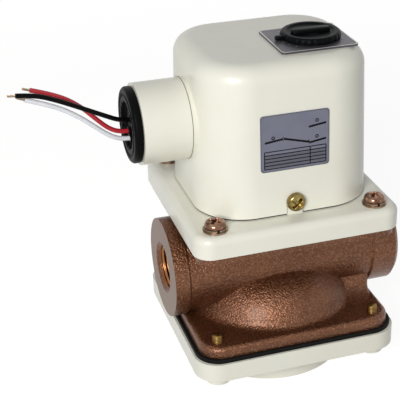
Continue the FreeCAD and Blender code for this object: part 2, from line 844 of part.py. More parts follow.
def make_switch_base():
    """The painted die-cast base: flange with rounded top edge, a spigot for the cover, two tapped tabs for
    the cover's screws, a well for the bellows and a seat for its ring underneath."""
    flange = slab(
        "BaseFlange", S.base_half_x, S.base_half_y, S.base_corner, SEAT_Z, BASE_TOP, edge_round=S.base_round
    )
    rim = spigot("BaseSpigot", S.fit_gap * 2, S.spigot_thickness, BASE_TOP - 1, COVER_LOW + S.spigot_height)
    half = S.slot_half_width - S.fit_gap
    tab_x = (COVER_SCREW_X - half, COVER_SCREW_X + half)
    tab_z = (BASE_TOP - 1, COVER_SCREW_Z)
    tabs = []
    for name, span in (
        ("FrontTab", (COVER_FRONT + S.fit_gap, COVER_FRONT + S.tab_depth)),
        ("BackTab", (COVER_BACK - S.tab_depth, COVER_BACK - S.fit_gap)),
    ):
        tabs.append(box(name, tab_x, span, tab_z))
        tabs.append(cylinder(name + "End", half, *span, COVER_SCREW_X, COVER_SCREW_Z, "Y"))
    solid = fuse("BaseCasting", flange, rim, *tabs)
    well = cylinder("BaseWell", S.base_well_radius, SEAT_Z - 1, BASE_TOP + 1)
    ring_seat = cylinder("RingSeat", S.bellows_ring_radius + S.fit_gap, SEAT_Z - 1, RING_TOP)
    hole = cylinder(
        "BaseScrewHole",
        S.base_screw_radius + S.screw_hole_clearance,
        SEAT_Z - 1,
        BASE_TOP + 1,
        -S.base_screw_x,
        -S.base_screw_y,
    )
    taps = [
        cylinder("FrontTap", S.cover_screw_radius, COVER_FRONT - 1, COVER_BACK + 1, COVER_SCREW_X, COVER_SCREW_Z, "Y")
    ]
    for index, (x, y) in enumerate(frame_screw_places()):
        taps.append(cylinder(f"FrameTap{index}", S.frame_screw_radius, BASE_TOP - S.frame_screw_depth - 1, BASE_TOP + 1, x, y))
    casting = cut("SwitchBase", solid, well, ring_seat, *at_four_corners("BaseScrewHole", hole), *taps)
    return node(casting, "switch_base")


def make_base_screws():
    """Pan head screws with cross recesses, each over a spring washer and a flat washer."""
    washer_top = BASE_TOP + S.flat_washer_thickness
    under_head = washer_top + S.spring_washer_thickness
    x, y = -S.base_screw_x, -S.base_screw_y
    bore = S.base_screw_radius + S.screw_hole_clearance
    screw = pan_screw(
        "BaseScrew",
        S.base_screw_radius,
        S.base_screw_head_radius,
        S.base_screw_head_height,
        under_head,
        TOP_FLANGE_LOW - S.base_screw_stand_out,
        x,
        y,
    )
    node(group("BaseScrews", *at_four_corners("BaseScrew", screw)), "base_screws")
    plate = cylinder("FlatWasherDisc", S.flat_washer_radius, BASE_TOP, washer_top, x, y)
    plate = cut("FlatWasher", plate, cylinder("FlatWasherHole", bore, BASE_TOP - 1, washer_top + 1, x, y))
    node(group("FlatWashers", *at_four_corners("FlatWasher", plate)), "flat_washers")
    ring = cylinder("SpringWasherDisc", S.spring_washer_radius, washer_top, under_head, x, y)
    gap = S.spring_washer_thickness * 0.5
    split = box("SpringWasherSplit", (x - gap, x + gap), (y - S.flat_washer_radius, y), (washer_top - 1, under_head + 1))
    hole = cylinder("SpringWasherHole", bore, washer_top - 1, under_head + 1, x, y)
    ring = cut("SpringWasher", ring, hole, split)
    node(group("SpringWashers", *at_four_corners("SpringWasher", ring)), "spring_washers")


def pan_profile(radius, head_radius, head_height, under_head, tip):
    """Half section of a pan head screw, point downwards."""
    point = radius * 0.25
    return [
        (0, tip),
        (radius - point, tip),
        (radius, tip + point),
        (radius, under_head),
        (head_radius, under_head),
        (head_radius, under_head + head_height * 0.45),
        (head_radius * 0.86, under_head + head_height * 0.8),
        (head_radius * 0.5, under_head + head_height),
        (0, under_head + head_height),
    ]


def cross_recess(name, head_radius, head_top, depth, x, y):
    """Two crossed bars that cut a cross recess into a head."""
    long, wide = head_radius * 0.56, head_radius * 0.13
    bar = box(name + "BarX", (x - long, x + long), (y - wide, y + wide), (head_top - depth, head_top + 1))
    cross = box(name + "BarY", (x - wide, x + wide), (y - long, y + long), (head_top - depth, head_top + 1))
    return [bar, cross]


def pan_screw(name, radius, head_radius, head_height, under_head, tip, x, y):
    profile = pan_profile(radius, head_radius, head_height, under_head, tip)
    screw = turned_at(name + "Turned", profile, x, y)
    top = under_head + head_height
    return cut(name, screw, *cross_recess(name, head_radius, top, head_height * 0.55, x, y))


# Switch cover, conduit socket and what is on them ----------------------------------------------------


def cover_block(name, inset, low, high, edge_round):
    """The cover's outer form, or its inside at an inset, as a drafted block with a rounded top edge."""
    return slab(
        name,
        S.cover_half_x - inset,
        S.cover_half_y - inset,
        S.cover_corner - inset,
        low,
        high,
        S.cover_shift_x,
        S.cover_shift_y,
        draft=S.cover_draft,
        edge_round=edge_round,
    )


def make_cover_seal():
    """The thin rubber line between the cover and the base."""
    inset = S.cover_seal_inset
    sheet = slab(
        "SealSheet",
        S.cover_half_x - inset,
        S.cover_half_y - inset,
        S.cover_corner - inset,
        BASE_TOP,
        COVER_LOW,
        S.cover_shift_x,
        S.cover_shift_y,
    )
    inner = S.cover_wall + S.fit_gap
    window = slab(
        "SealWindow",
        S.cover_half_x - inner,
        S.cover_half_y - inner,
        S.cover_corner - inner,
        BASE_TOP - 1,
        COVER_LOW + 1,
        S.cover_shift_x,
        S.cover_shift_y,
    )
    return node(cut("CoverSeal", sheet, window, tab_slots("SealSlot")), "cover_seal")


def tab_slots(name):
    """The clear space round the base's two tabs, front and back, open downwards."""
    x = (COVER_SCREW_X - S.slot_half_width, COVER_SCREW_X + S.slot_half_width)
    return box(name, x, (COVER_FRONT - 1, COVER_BACK + 1), (BASE_TOP - 1, COVER_SCREW_Z))


def make_switch_cover():
    """The painted cover: one drafted shell with big round corners, two screw slots, the socket's hole and
    the hole for the adjusting screw."""
    outer = cover_block("CoverOuter", as_size(0), COVER_LOW, COVER_TOP, S.cover_round)
    inner = cover_block(
        "CoverInner", S.cover_wall, COVER_LOW - 1, COVER_TOP - S.cover_wall, S.cover_round - S.cover_wall
    )
    slots = tab_slots("CoverSlots")
    slot_end = cylinder(
        "SlotEnds", S.slot_half_width, COVER_FRONT - 1, COVER_BACK + 1, COVER_SCREW_X, COVER_SCREW_Z, "Y"
    )
    socket_hole = cylinder(
        "SocketHole",
        S.socket_spigot_radius + S.fit_gap,
        -S.socket_reach,
        S.cover_shift_x,
        S.socket_shift_y,
        SOCKET_Z,
        "X",
    )
    shaft_hole = cylinder(
        "ShaftHole",
        SEAL_RADIUS,
        COVER_TOP - S.cover_wall - 1,
        COVER_TOP + 1,
        S.adjuster_x,
        S.adjuster_y,
    )
    shell = cut("SwitchCover", outer, inner, slots, slot_end, socket_hole, shaft_hole)
    return node(shell, "switch_cover"), outer


def make_cover_screws():
    """Two pan head screws that clamp the cover's slots against the base's tabs, front and back."""
    screws = []
    for name, face, side in (("FrontScrew", COVER_FRONT, -1), ("BackScrew", COVER_BACK, 1)):
        lean = tangent_of(S.cover_draft) * (COVER_SCREW_Z - COVER_LOW - S.slot_half_width)
        under_head = S.cover_screw_length
        body = turned(
            name + "Turned",
            pan_profile(
                S.cover_screw_radius,
                S.cover_screw_head_radius,
                S.cover_screw_head_height,
                under_head,
                as_size(0),
            ),
        )
        top = under_head + S.cover_screw_head_height
        recess = cross_recess(
            name, S.cover_screw_head_radius, top, S.cover_screw_head_height * 0.55, as_size(0), as_size(0)
        )
        screw = cut(name, body, *recess)
        turn = FreeCAD.Rotation(FreeCAD.Vector(1, 0, 0), -90 * side)
        screw.Placement = FreeCAD.Placement(FreeCAD.Vector(), turn)
        if side < 0:
            place(screw, COVER_SCREW_X, face + lean + under_head, COVER_SCREW_Z)
        else:
            place(screw, COVER_SCREW_X, face - lean - under_head, COVER_SCREW_Z)
        screws.append(screw)
    return node(group("CoverScrews", *screws), "cover_screws")


def make_conduit_socket(cover_form):
    """The cream conduit socket: its end is cut to the cover's wall, a threaded spigot goes through the wall
    and the mouth holds the grommet."""
    barrel = cylinder(
        "SocketBarrel", S.socket_radius, -S.socket_reach, -S.frame_left, S.socket_shift_y, SOCKET_Z, "X"
    )
    barrel = cut("SocketBarrelFitted", barrel, cover_form)
    spigot_end = SOCKET_WALL + S.cover_wall + S.socket_spigot_length
    spigot_tube = cylinder(
        "SocketSpigot",
        S.socket_spigot_radius,
        -S.socket_reach + S.socket_mouth_depth,
        spigot_end,
        S.socket_shift_y,
        SOCKET_Z,
        "X",
    )
    mouth = cylinder(
        "SocketMouth",
        S.socket_mouth_radius,
        -S.socket_reach - 1,
        S.socket_mouth_depth - S.socket_reach,
        S.socket_shift_y,
        SOCKET_Z,
        "X",
    )
    bore = cylinder(
        "SocketBore", S.socket_bore_radius, -S.socket_reach - 1, spigot_end + 1, S.socket_shift_y, SOCKET_Z, "X"
    )
    return node(cut("ConduitSocket", fuse("SocketBlank", barrel, spigot_tube), mouth, bore), "conduit_socket")


def make_locknut():
    """The hexagon nut that holds the socket from inside the cover."""
    low = SOCKET_WALL + S.cover_wall + S.fit_gap * 2
    high = low + S.locknut_thickness
    blank = hexagon("LocknutBlank", S.locknut_radius, low, high, S.socket_shift_y, SOCKET_Z, "X")
    thread = cylinder(
        "LocknutThread", S.socket_spigot_radius, low - 1, high + 1, S.socket_shift_y, SOCKET_Z, "X"
    )
    return node(cut("SocketLocknut", blank, thread), "socket_locknut")


def make_grommet():
    """The black rubber lead grommet: a rounded flange over the socket's mouth, a recess and three holes."""
    flange_face = -S.socket_reach - S.grommet_flange_thickness
    floor = flange_face + S.grommet_recess_depth
    inner = S.socket_mouth_depth - S.socket_reach
    edge = S.grommet_flange_thickness * 0.3
    body = turned(
        "Grommet",
        [
            (floor, 0),
            (floor, S.grommet_recess_radius),
            (flange_face, S.grommet_recess_radius + edge * 0.5),
            (flange_face, S.grommet_flange_radius - edge),
            (flange_face + edge, S.grommet_flange_radius),
            (-S.socket_reach - edge * 0.5, S.grommet_flange_radius),
            (-S.socket_reach, S.grommet_flange_radius - edge * 0.5),
            (-S.socket_reach, S.socket_mouth_radius - S.lead_hole_clearance),
            (inner, S.socket_mouth_radius - S.lead_hole_clearance),
            (inner, 0),
        ],
        axis="H_Axis",
        up=SOCKET_Z,
    )
    place(body, 0, S.socket_shift_y, 0)
    holes = []
    for name, lead in LEADS.items():
        _, y, z = outer_route(lead)[0]
        bore = S.lead_radius + S.lead_hole_clearance
        holes.append(cylinder(f"GrommetHole{name}", bore, flange_face - 1, inner + 1, as_size(y), as_size(z), "X"))
    return node(cut("LeadGrommet", body, *holes), "lead_grommet")


def millimetres(*values):
    return FreeCAD.Vector(*[float(as_size(value)) for value in values])


# Each lead is two routes of hand-set points. The outer one is measured from the middle of the grommet's
# recess. The inner one starts at the same point, runs straight through the grommet, and then takes its last
# points from the place where it is soldered to its terminal.
LEADS = {
    "black": {
        "outside": [
            (0.0, -0.1, 2.3),
            (-4.0, -0.1, 2.3),
            (-10.6, -0.1, 5.5),
            (-20.1, -0.2, 10.3),
            (-29.1, -0.4, 14.7),
            (-36.6, -0.6, 17.6),
            (-43.6, -0.8, 18.3),
        ],
        "terminal": (1, 0, -0.5),
        "inside": [(-24.9, -3.2, 0.0), (0.0, -3.2, 0.0), (0.0, 0.0, 0.0)],
    },
    "red": {
        "outside": [
            (0.0, 3.0, -3.7),
            (-4.0, 3.0, -3.7),
            (-8.5, 3.2, -1.6),
            (-12.9, 3.4, 2.7),
            (-19.1, 3.4, 9.4),
            (-27.6, 3.2, 15.1),
            (-37.6, 2.8, 18.5),
        ],
        "terminal": (0, 0, 0.5),
        "inside": [(-17.4, 3.2, 0.0), (0.0, 3.2, 0.0), (0.0, 0.0, 0.0)],
    },
    "white": {
        "outside": [
            (0.0, 1.0, -6.0),
            (-4.0, 1.0, -6.0),
            (-8.7, 1.0, -3.8),
            (-13.6, 1.0, 0.3),
            (-20.1, 1.0, 5.9),
            (-29.1, 0.9, 11.7),
            (-40.1, 0.8, 15.7),
        ],
        "terminal": (-1, -1, 0),
        "inside": [(-7.5, -0.1, -0.7), (-3.8, 0.0, 0.0), (0.0, 0.0, 0.0)],
    },
}


def lead_origin():
    """The middle of the grommet's recess floor."""
    floor = -S.socket_reach - S.grommet_flange_thickness + S.grommet_recess_depth
    return millimetres(floor, S.socket_shift_y, SOCKET_Z)


def outer_route(lead):
    return [lead_origin() + FreeCAD.Vector(*point) for point in lead["outside"]]


def inner_route(lead):
    """From the recess through the grommet, over a slight sag, to the terminal's solder point."""
    start = outer_route(lead)[0]
    entry = start + millimetres(S.socket_mouth_depth + S.grommet_flange_thickness, 0, 0)
    column, edge, face = lead["terminal"]
    middle_x = S.micro_length * 0.5 - S.micro_left
    solder = millimetres(
        middle_x + S.tab_pitch * column + S.tab_half_width * edge,
        S.tab_thickness * face,
        MICRO_TOP + S.tab_length * 0.5,
    )
    last = [solder + FreeCAD.Vector(*point) for point in lead["inside"]]
    sag = entry + (last[0] - entry) * 0.45 - FreeCAD.Vector(0, 0, 0.5)
    return [start, entry, sag] + last


def lead_path(points):
    """Straight runs joined by tangent arcs; each arc's tangent length is 0.45 of its shorter run."""
    spots = list(points)
    edges = []
    radii = []
    at = spots[0]
    for before, corner, after in zip(spots, spots[1:], spots[2:]):
        back = (before - corner).normalize()
        onward = (after - corner).normalize()
        reach = 0.45 * min((before - corner).Length, (after - corner).Length)
        half_turn = 0.5 * (math.pi - back.getAngle(onward))
        radius = reach / math.tan(half_turn)
        bisector = (back + onward).normalize()
        middle = corner + bisector * (math.hypot(radius, reach) - radius)
        start = corner + back * reach
        end = corner + onward * reach
        edges.append(Part.LineSegment(at, start).toShape())
        edges.append(Part.Arc(start, middle, end).toShape())
        radii.append(radius)
        at = end
    edges.append(Part.LineSegment(at, spots[-1]).toShape())
    return Part.Wire(edges), radii


def make_lead(label, points):
    """A plain round lead swept along its route; its volume is compared with section times length."""
    path, radii = lead_path(points)
    start, tangent = points[0], path.Edges[0].tangentAt(path.Edges[0].FirstParameter)
    radius = float(S.lead_radius)
    section = Part.Wire(Part.Circle(start, tangent, radius).toShape())
    tube = path.makePipeShell([section], True, True)
    ratio = tube.Volume / (math.pi * radius**2 * path.Length)
    print(label, "length", round(path.Length, 1), "radii", [round(r, 1) for r in radii], "ratio", round(ratio, 4))
    lead = DOCUMENT.addObject("Part::Feature", label.title().replace("_", ""))
    lead.Shape = tube
    return node(lead, label)


def make_label():
    """The plain label plate that lies on the cover's drafted front face."""
    plate = slab(
        "CircuitLabel", S.label_half_width, S.label_half_height, S.label_corner, 0, S.label_thickness
    )
    centre_z = BASE_TOP + S.label_rise
    face_y = COVER_FRONT + tangent_of(S.cover_draft) * (centre_z - COVER_LOW)
    plate.Placement = FreeCAD.Placement(FreeCAD.Vector(), FreeCAD.Rotation(FreeCAD.Vector(1, 0, 0), 90))
    bind(plate, Placement__Rotation__Angle=as_size(90) - S.cover_draft)
    place(plate, S.label_shift_x, face_y, centre_z)
    return node(plate, "circuit_label")


# Dial, knob and range adjuster ----------------------------------------------------------------------


def make_dial_plate():
    plate = slab(
        "DialSheet",
        S.dial_half_x,
        S.dial_half_y,
        S.dial_corner,
        COVER_TOP,
        DIAL_TOP,
        S.adjuster_x + S.dial_shift_x,
        S.adjuster_y + S.dial_shift_y,
    )
    hole = cylinder("DialHole", SEAL_RADIUS, COVER_TOP - 1, DIAL_TOP + 1, S.adjuster_x, S.adjuster_y)
    return node(cut("DialPlate", plate, hole), "dial_plate")


def make_knob():
    """The low black setting knob: a fluted skirt, a dished top with a grip bar and a pointer at its rim."""
    top = KNOB_LOW + S.knob_height
    dish = S.knob_height * 0.3
    grip_half = S.knob_grip_length * 0.5
    body = new_body("SettingKnob")
    profile = sketch_on(body, "KnobProfile", "XZ_Plane")
    outline(
        profile,
        [
            (0, KNOB_LOW),
            (S.knob_radius, KNOB_LOW),
            (S.knob_radius - S.knob_height * 0.15, top - dish),
            (S.knob_radius - dish, top),
            (S.knob_radius - dish * 2.4, top),
            (S.knob_radius - dish * 3.4, top - dish),
            (0, top - dish),
        ],
    )
    feature(body, "Revolution", "KnobTurn", profile, axis="V_Axis")
    grip = sketch_on(body, "GripPlan", "XY_Plane", level=top - dish * 1.5)
    rounded_rectangle(grip, grip_half, S.knob_grip_width * 0.5, S.knob_grip_width * 0.3)
    feature(body, "Pad", "Grip", grip, Length=S.knob_grip_height + dish * 1.5)
    pointer = sketch_on(body, "PointerPlan", "XY_Plane", level=KNOB_LOW)
    tip = S.knob_radius + S.pointer_length
    outline(
        pointer,
        [
            (-S.knob_radius + 1, -S.knob_grip_width * 0.5),
            (-S.knob_radius + 1, S.knob_grip_width * 0.5),
            (-tip, S.knob_grip_width * 0.2),
            (-tip, -S.knob_grip_width * 0.2),
        ],
    )
    feature(body, "Pad", "Pointer", pointer, Length=S.knob_height * 0.5)
    flute = sketch_on(body, "FlutePlan", "XY_Plane", level=top)
    circles(flute, S.knob_flute_radius, [(S.knob_radius + S.knob_flute_radius * 0.4, 0)])
    cut_flute = feature(body, "Pocket", "Flute", flute, Length=S.knob_height)
    ring = body.newObject("PartDesign::PolarPattern", "Flutes")
    ring.Originals = [cut_flute]
    ring.Axis = (profile, ["V_Axis"])
    ring.Angle = 360.0
    ring.Occurrences = 24
    body.Tip = ring
    socket = sketch_on(body, "ShaftSocketPlan", "XY_Plane", level=ADJUSTER_TOP)
    circles(socket, S.adjuster_radius, [(0, 0)])
    feature(body, "Pocket", "ShaftSocket", socket, Length=ADJUSTER_TOP - KNOB_LOW)
    place(body, S.adjuster_x, S.adjuster_y, 0)
    return node(body, "setting_knob")


def make_adjusting_screw():
    """The spindle under the knob, with the collar that takes the spring's thrust against the bridge bush."""
    collar_top = BRIDGE_LOW - S.fit_gap
    collar_low = collar_top - S.collar_thickness
    low = BASE_TOP + S.adjuster_bottom_rise
    point = S.adjuster_radius * 0.25
    screw = turned_at(
        "AdjustingScrew",
        [
            (0, low),
            (S.adjuster_radius - point, low),
            (S.adjuster_radius, low + point),
            (S.adjuster_radius, collar_low),
            (S.collar_radius, collar_low),
            (S.collar_radius, collar_top),
            (S.adjuster_radius, collar_top),
            (S.adjuster_radius, ADJUSTER_TOP),
            (0, ADJUSTER_TOP),
        ],
        S.adjuster_x,
        S.adjuster_y,
    )
    return node(screw, "adjusting_screw")


def make_adjuster_bush():
    """The brass flanged bush in the bridge that the spindle runs in."""
    bore = S.adjuster_radius + S.shaft_clearance
    top = BRIDGE_LOW + S.sheet
    bush = turned_at(
        "AdjusterBush",
        [
            (bore, BRIDGE_LOW),
            (BUSH_RADIUS, BRIDGE_LOW),
            (BUSH_RADIUS, top),
            (BUSH_RADIUS + S.sheet, top),
            (BUSH_RADIUS + S.sheet, top + S.sheet),
            (bore, top + S.sheet),
        ],
        S.adjuster_x,
        S.adjuster_y,
    )
    return node(bush, "adjuster_bush")


def make_spindle_seal():
    """The rubber ring in the cover's top hole, clear of the spindle."""
    bore = S.adjuster_radius + S.fit_gap
    low = COVER_TOP - S.cover_wall
    ring = cylinder("SealRingDisc", SEAL_RADIUS, low, COVER_TOP, S.adjuster_x, S.adjuster_y)
    hole = cylinder("SealRingHole", bore, low - 1, COVER_TOP + 1, S.adjuster_x, S.adjuster_y)
    return node(cut("SpindleSeal", ring, hole), "spindle_seal")


def make_spring_seat():
    """The nut that rides the adjusting screw: a disc over the spring, a centring hub and two ears that slide
    in the tower's slots so that it cannot turn."""
    hub_low = SPRING_TOP - S.sheet * 1.5
    hub_radius = S.spring_mean_radius - S.spring_wire_radius - S.fit_gap
    x, y = S.adjuster_x, S.adjuster_y
    reach = S.tower_half_depth + S.sheet + S.fit_gap * 2
    half = S.seat_ear_width * 0.5
    disc = cylinder("SeatDisc", S.seat_radius, SPRING_TOP, SEAT_TOP, x, y)
    hub = cylinder("SeatHub", hub_radius, hub_low, SEAT_TOP, x, y)
    ears = box("SeatEars", (x - half, x + half), (y - reach, y + reach), (SPRING_TOP, SEAT_TOP))
    thread = cylinder("SeatThread", S.adjuster_radius + S.shaft_clearance, hub_low - 1, SEAT_TOP + 1, x, y)
    return node(cut("SpringSeat", fuse("SeatBlank", disc, hub, ears), thread), "spring_seat")


def make_range_spring():
    """The range spring as a swept helix between the lever's arm and the spring seat."""
    wire = float(S.spring_wire_radius)
    clear = 0.02
    low = float(YOKE_TOP) + wire + clear
    height = float(S.spring_length) - 2 * (wire + clear)
    mean = float(S.spring_mean_radius)
    helix = Part.makeHelix(height / float(S.spring_turns), height, mean)
    section = Part.Wire(Part.Circle(FreeCAD.Vector(mean, 0, 0), FreeCAD.Vector(0, 1, 0), wire).toShape())
    coil = Part.Wire(helix.Edges).makePipeShell([section], True, True)
    spring = DOCUMENT.addObject("Part::Feature", "RangeSpring")
    spring.Shape = coil
    spring.Placement = FreeCAD.Placement(
        FreeCAD.Vector(float(S.adjuster_x), float(S.adjuster_y), low), FreeCAD.Rotation()
    )
    return node(spring, "range_spring")


# Sheet-metal frame ----------------------------------------------------------------------------------


def frame_screw_places():
    left, right = -S.frame_left + S.frame_screw_edge_left, S.frame_right - S.frame_screw_edge_right
    depth = S.frame_half_depth - S.frame_screw_edge_y
    return [(left, -depth), (left, depth), (right, -depth), (right, depth)]


def make_frame():
    """The bent sheet frame: base plate, pivot ears, the microswitch's upright and the slotted spring tower."""
    body = new_body("FrameSheet")
    plate = sketch_on(body, "FramePlan", "XY_Plane", level=BASE_TOP)
    nick = as_size(4)
    left, right, deep = S.frame_left, S.frame_right, S.frame_half_depth
    outline(
        plate,
        [
            (-left, nick - deep),
            (nick - left, -deep),
            (right - nick, -deep),
            (right, nick - deep),
            (right, deep - nick),
            (right - nick, deep),
            (nick - left, deep),
            (-left, deep - nick),
        ],
    )
    feature(body, "Pad", "FramePlate", plate, Length=S.sheet)
    x = (S.adjuster_x - S.tower_half_width, S.adjuster_x + S.tower_half_width)
    y, reach = S.adjuster_y, S.tower_half_depth
    z = (BASE_TOP, BRIDGE_LOW + S.sheet)
    front_leg = box("TowerFrontLeg", x, (y - reach - S.sheet, y - reach), z)
    back_leg = box("TowerBackLeg", x, (y + reach, y + reach + S.sheet), z)
    bridge = box("TowerBridge", x, (y - reach - S.sheet, y + reach + S.sheet), (BRIDGE_LOW, z[1]))
    ears = []
    for name, middle in (("FrontEar", -S.ear_offset), ("BackEar", S.ear_offset)):
        span = (middle - S.sheet * 0.5, middle + S.sheet * 0.5)
        ears.append(box(name, (-S.ear_half_width, S.ear_half_width), span, (BASE_TOP, PIVOT_Z)))
        ears.append(cylinder(name + "Top", S.ear_half_width, *span, 0, PIVOT_Z, "Y"))
    solid = fuse("FrameBlank", body, front_leg, back_leg, bridge, *ears, make_upright())
    half = S.seat_ear_width * 0.5 + S.fit_gap
    slots = box(
        "TowerSlots",
        (S.adjuster_x - half, S.adjuster_x + half),
        (y - reach - S.sheet - 1, y + reach + S.sheet + 1),
        (SPRING_TOP - S.seat_travel - S.fit_gap * 2, SEAT_TOP + S.fit_gap * 2),
    )
    bush = cylinder("BushHole", BUSH_RADIUS, BRIDGE_LOW - 1, BRIDGE_LOW + S.sheet + 1, x[0] + S.tower_half_width, y)
    well = cylinder("FrameWell", S.base_well_radius, BASE_TOP - 1, FRAME_TOP + 1)
    pins = cylinder(
        "PivotHoles", S.pivot_radius, -S.ear_offset - S.sheet, S.ear_offset + S.sheet, 0, PIVOT_Z, "Y"
    )
    stop = cylinder("StopHole", S.stop_radius, BASE_TOP - 1, FRAME_TOP + 1, S.stop_x, S.adjuster_y)
    holes = [slots, bush, well, pins, stop]
    for index, (px, py) in enumerate(frame_screw_places()):
        bore = S.frame_screw_radius + S.screw_hole_clearance
        holes.append(cylinder(f"FrameHole{index}", bore, BASE_TOP - 1, FRAME_TOP + 1, px, py))
    for index, (px, pz) in enumerate(micro_screw_places()):
        back = S.micro_half_depth + S.sheet + 1
        holes.append(cylinder(f"MicroTap{index}", S.micro_screw_radius, S.micro_half_depth - 1, back, px, pz, "Y"))
    return node(cut("SwitchFrame", solid, *holes), "switch_frame")


def make_upright():
    """The upright behind the microswitch: a foot beside the lever and a wider head behind the switch."""
    body = new_body("MicroUpright")
    sketch = sketch_on(body, "UprightProfile", "XZ_Plane", level=-S.micro_half_depth - S.sheet)
    left = -S.micro_left
    shoulder = MICRO_LOW - S.sheet
    foot_right = left + S.micro_length * 0.36
    outline(
        sketch,
        [
            (left, BASE_TOP),
            (foot_right, BASE_TOP),
            (foot_right, shoulder),
            (left + S.micro_length, shoulder),
            (left + S.micro_length, MICRO_TOP),
            (left, MICRO_TOP),
        ],
    )
    feature(body, "Pad", "UprightSheet", sketch, Length=S.sheet)
    return body


def make_frame_screws():
    screws = []
    for index, (x, y) in enumerate(frame_screw_places()):
        head = S.frame_screw_radius * 1.8
        height = S.frame_screw_radius * 1.3
        screws.append(
            pan_screw(f"FrameScrew{index}", S.frame_screw_radius, head, height, FRAME_TOP, BASE_TOP - S.frame_screw_depth, x, y)
        )
    return node(group("FrameScrews", *screws), "frame_screws")


def make_pivot_pins():
    """Two headed pins, pressed into the ears, that the yoke's cheeks turn on."""
    inner = S.cheek_offset - S.sheet
    outer = S.ear_offset + S.sheet * 0.5
    pins = []
    for name, side in (("FrontPin", -1), ("BackPin", 1)):
        low, high = (inner, outer) if side > 0 else (-outer, -inner)
        head = (outer, outer + S.sheet * 0.7) if side > 0 else (-outer - S.sheet * 0.7, -outer)
        pin = cylinder(name + "Shank", S.pivot_radius, low, high, 0, PIVOT_Z, "Y")
        cap = cylinder(name + "Head", S.pivot_radius * 1.7, *head, 0, PIVOT_Z, "Y")
        pins.append(fuse(name, pin, cap))
    return node(group("PivotPins", *pins), "pivot_pins")


def make_pin_clips():
    """Retaining rings on the pins' inner ends."""
    inner = S.cheek_offset - S.sheet
    thickness = S.sheet * 0.4
    clips = []
    for name, side in (("FrontClip", -1), ("BackClip", 1)):
        span = (inner, inner + thickness) if side > 0 else (-inner - thickness, -inner)
        ring = cylinder(name + "Disc", S.pivot_radius * 1.9, *span, 0, PIVOT_Z, "Y")
        hole = cylinder(name + "Hole", S.pivot_radius, span[0] - 1, span[1] + 1, 0, PIVOT_Z, "Y")
        clips.append(cut(name, ring, hole))
    return node(group("PinClips", *clips), "pin_clips")


def make_stop():
    """The screw that the lever's spring arm comes down on, and its locknut on the frame."""
    screw = cylinder("StopScrew", S.stop_radius, BASE_TOP, YOKE_LOW - S.stop_gap, S.stop_x, S.adjuster_y)
    node(screw, "stop_screw")
    high = FRAME_TOP + S.stop_radius * 1.6
    nut = hexagon("StopNutBlank", S.stop_radius * 2, FRAME_TOP, high, S.stop_x, S.adjuster_y)
    thread = cylinder("StopNutThread", S.stop_radius, FRAME_TOP - 1, high + 1, S.stop_x, S.adjuster_y)
    node(cut("StopNut", nut, thread), "stop_nut")


# Paddle lever ---------------------------------------------------------------------------------------


def make_lever_yoke():
    """The bent lever: a plate with one arm under the microswitch and one under the spring, and two cheeks
    that straddle the bellows and hang on the pivot pins."""
    body = new_body("YokeSheet")
    plan = sketch_on(body, "YokePlan", "XY_Plane", level=YOKE_LOW)
    wide = S.cheek_offset + S.sheet * 0.5
    half = S.yoke_half_width
    tip = S.lever_left_half_depth
    arm = S.seat_radius - 1
    right = S.adjuster_x + S.lever_right
    outline(
        plan,
        [
            (-S.lever_left, -tip),
            (-half, -tip * 1.4),
            (-half, -wide),
            (half, -wide),
            (right, S.adjuster_y - arm),
            (right, S.adjuster_y + arm),
            (half, tip),
            (half, wide),
            (-half, wide),
            (-half, tip * 1.4),
            (-S.lever_left, tip),
        ],
    )
    feature(body, "Pad", "YokePlate", plan, Length=S.sheet)
    eye = S.sheet * 2.4
    for name, level in (("FrontCheek", S.cheek_offset - S.sheet * 0.5), ("BackCheek", -wide)):
        cheek = sketch_on(body, name + "Profile", "XZ_Plane", level=level)
        outline(
            cheek,
            [
                (-half, YOKE_TOP),
                (-eye, PIVOT_Z - eye * 0.4),
                (-eye * 0.6, PIVOT_Z - eye),
                (eye * 0.6, PIVOT_Z - eye),
                (eye, PIVOT_Z - eye * 0.4),
                (half, YOKE_TOP),
            ],
        )
        feature(body, "Pad", name, cheek, Length=S.sheet)
    boss_radius = S.spring_mean_radius - S.spring_wire_radius - S.fit_gap
    boss = cylinder(
        "SpringBoss", boss_radius, YOKE_LOW, YOKE_TOP + S.sheet, S.adjuster_x, S.adjuster_y
    )
    solid = fuse("YokeBlank", body, boss)
    stem = cylinder("YokeStemHole", S.stem_radius, YOKE_LOW - 1, YOKE_TOP + 1)
    contact = cylinder("YokeContactHole", S.stop_radius, YOKE_LOW - 1, YOKE_TOP + 1, -S.contact_x, 0)
    reach = wide + 1
    pins = cylinder("YokePivotHoles", S.pivot_radius + S.shaft_clearance, -reach, reach, 0, PIVOT_Z, "Y")
    return node(cut("LeverYoke", solid, stem, contact, pins), "lever_yoke")


def make_contact():
    """The adjustable contact screw under the plunger and its locknut."""
    point = S.stop_radius * 0.4
    screw = turned_at(
        "ContactScrew",
        [
            (0, YOKE_LOW - S.contact_height),
            (S.stop_radius, YOKE_LOW - S.contact_height),
            (S.stop_radius, CONTACT_TOP - point),
            (S.stop_radius - point, CONTACT_TOP),
            (0, CONTACT_TOP),
        ],
        -S.contact_x,
        0,
    )
    node(screw, "contact_screw")
    high = YOKE_TOP + S.stop_radius * 1.4
    nut = hexagon("ContactNutBlank", S.stop_radius * 2, YOKE_TOP, high, -S.contact_x, 0)
    thread = cylinder("ContactNutThread", S.stop_radius, YOKE_TOP - 1, high + 1, -S.contact_x, 0)
    node(cut("ContactNut", nut, thread), "contact_nut")


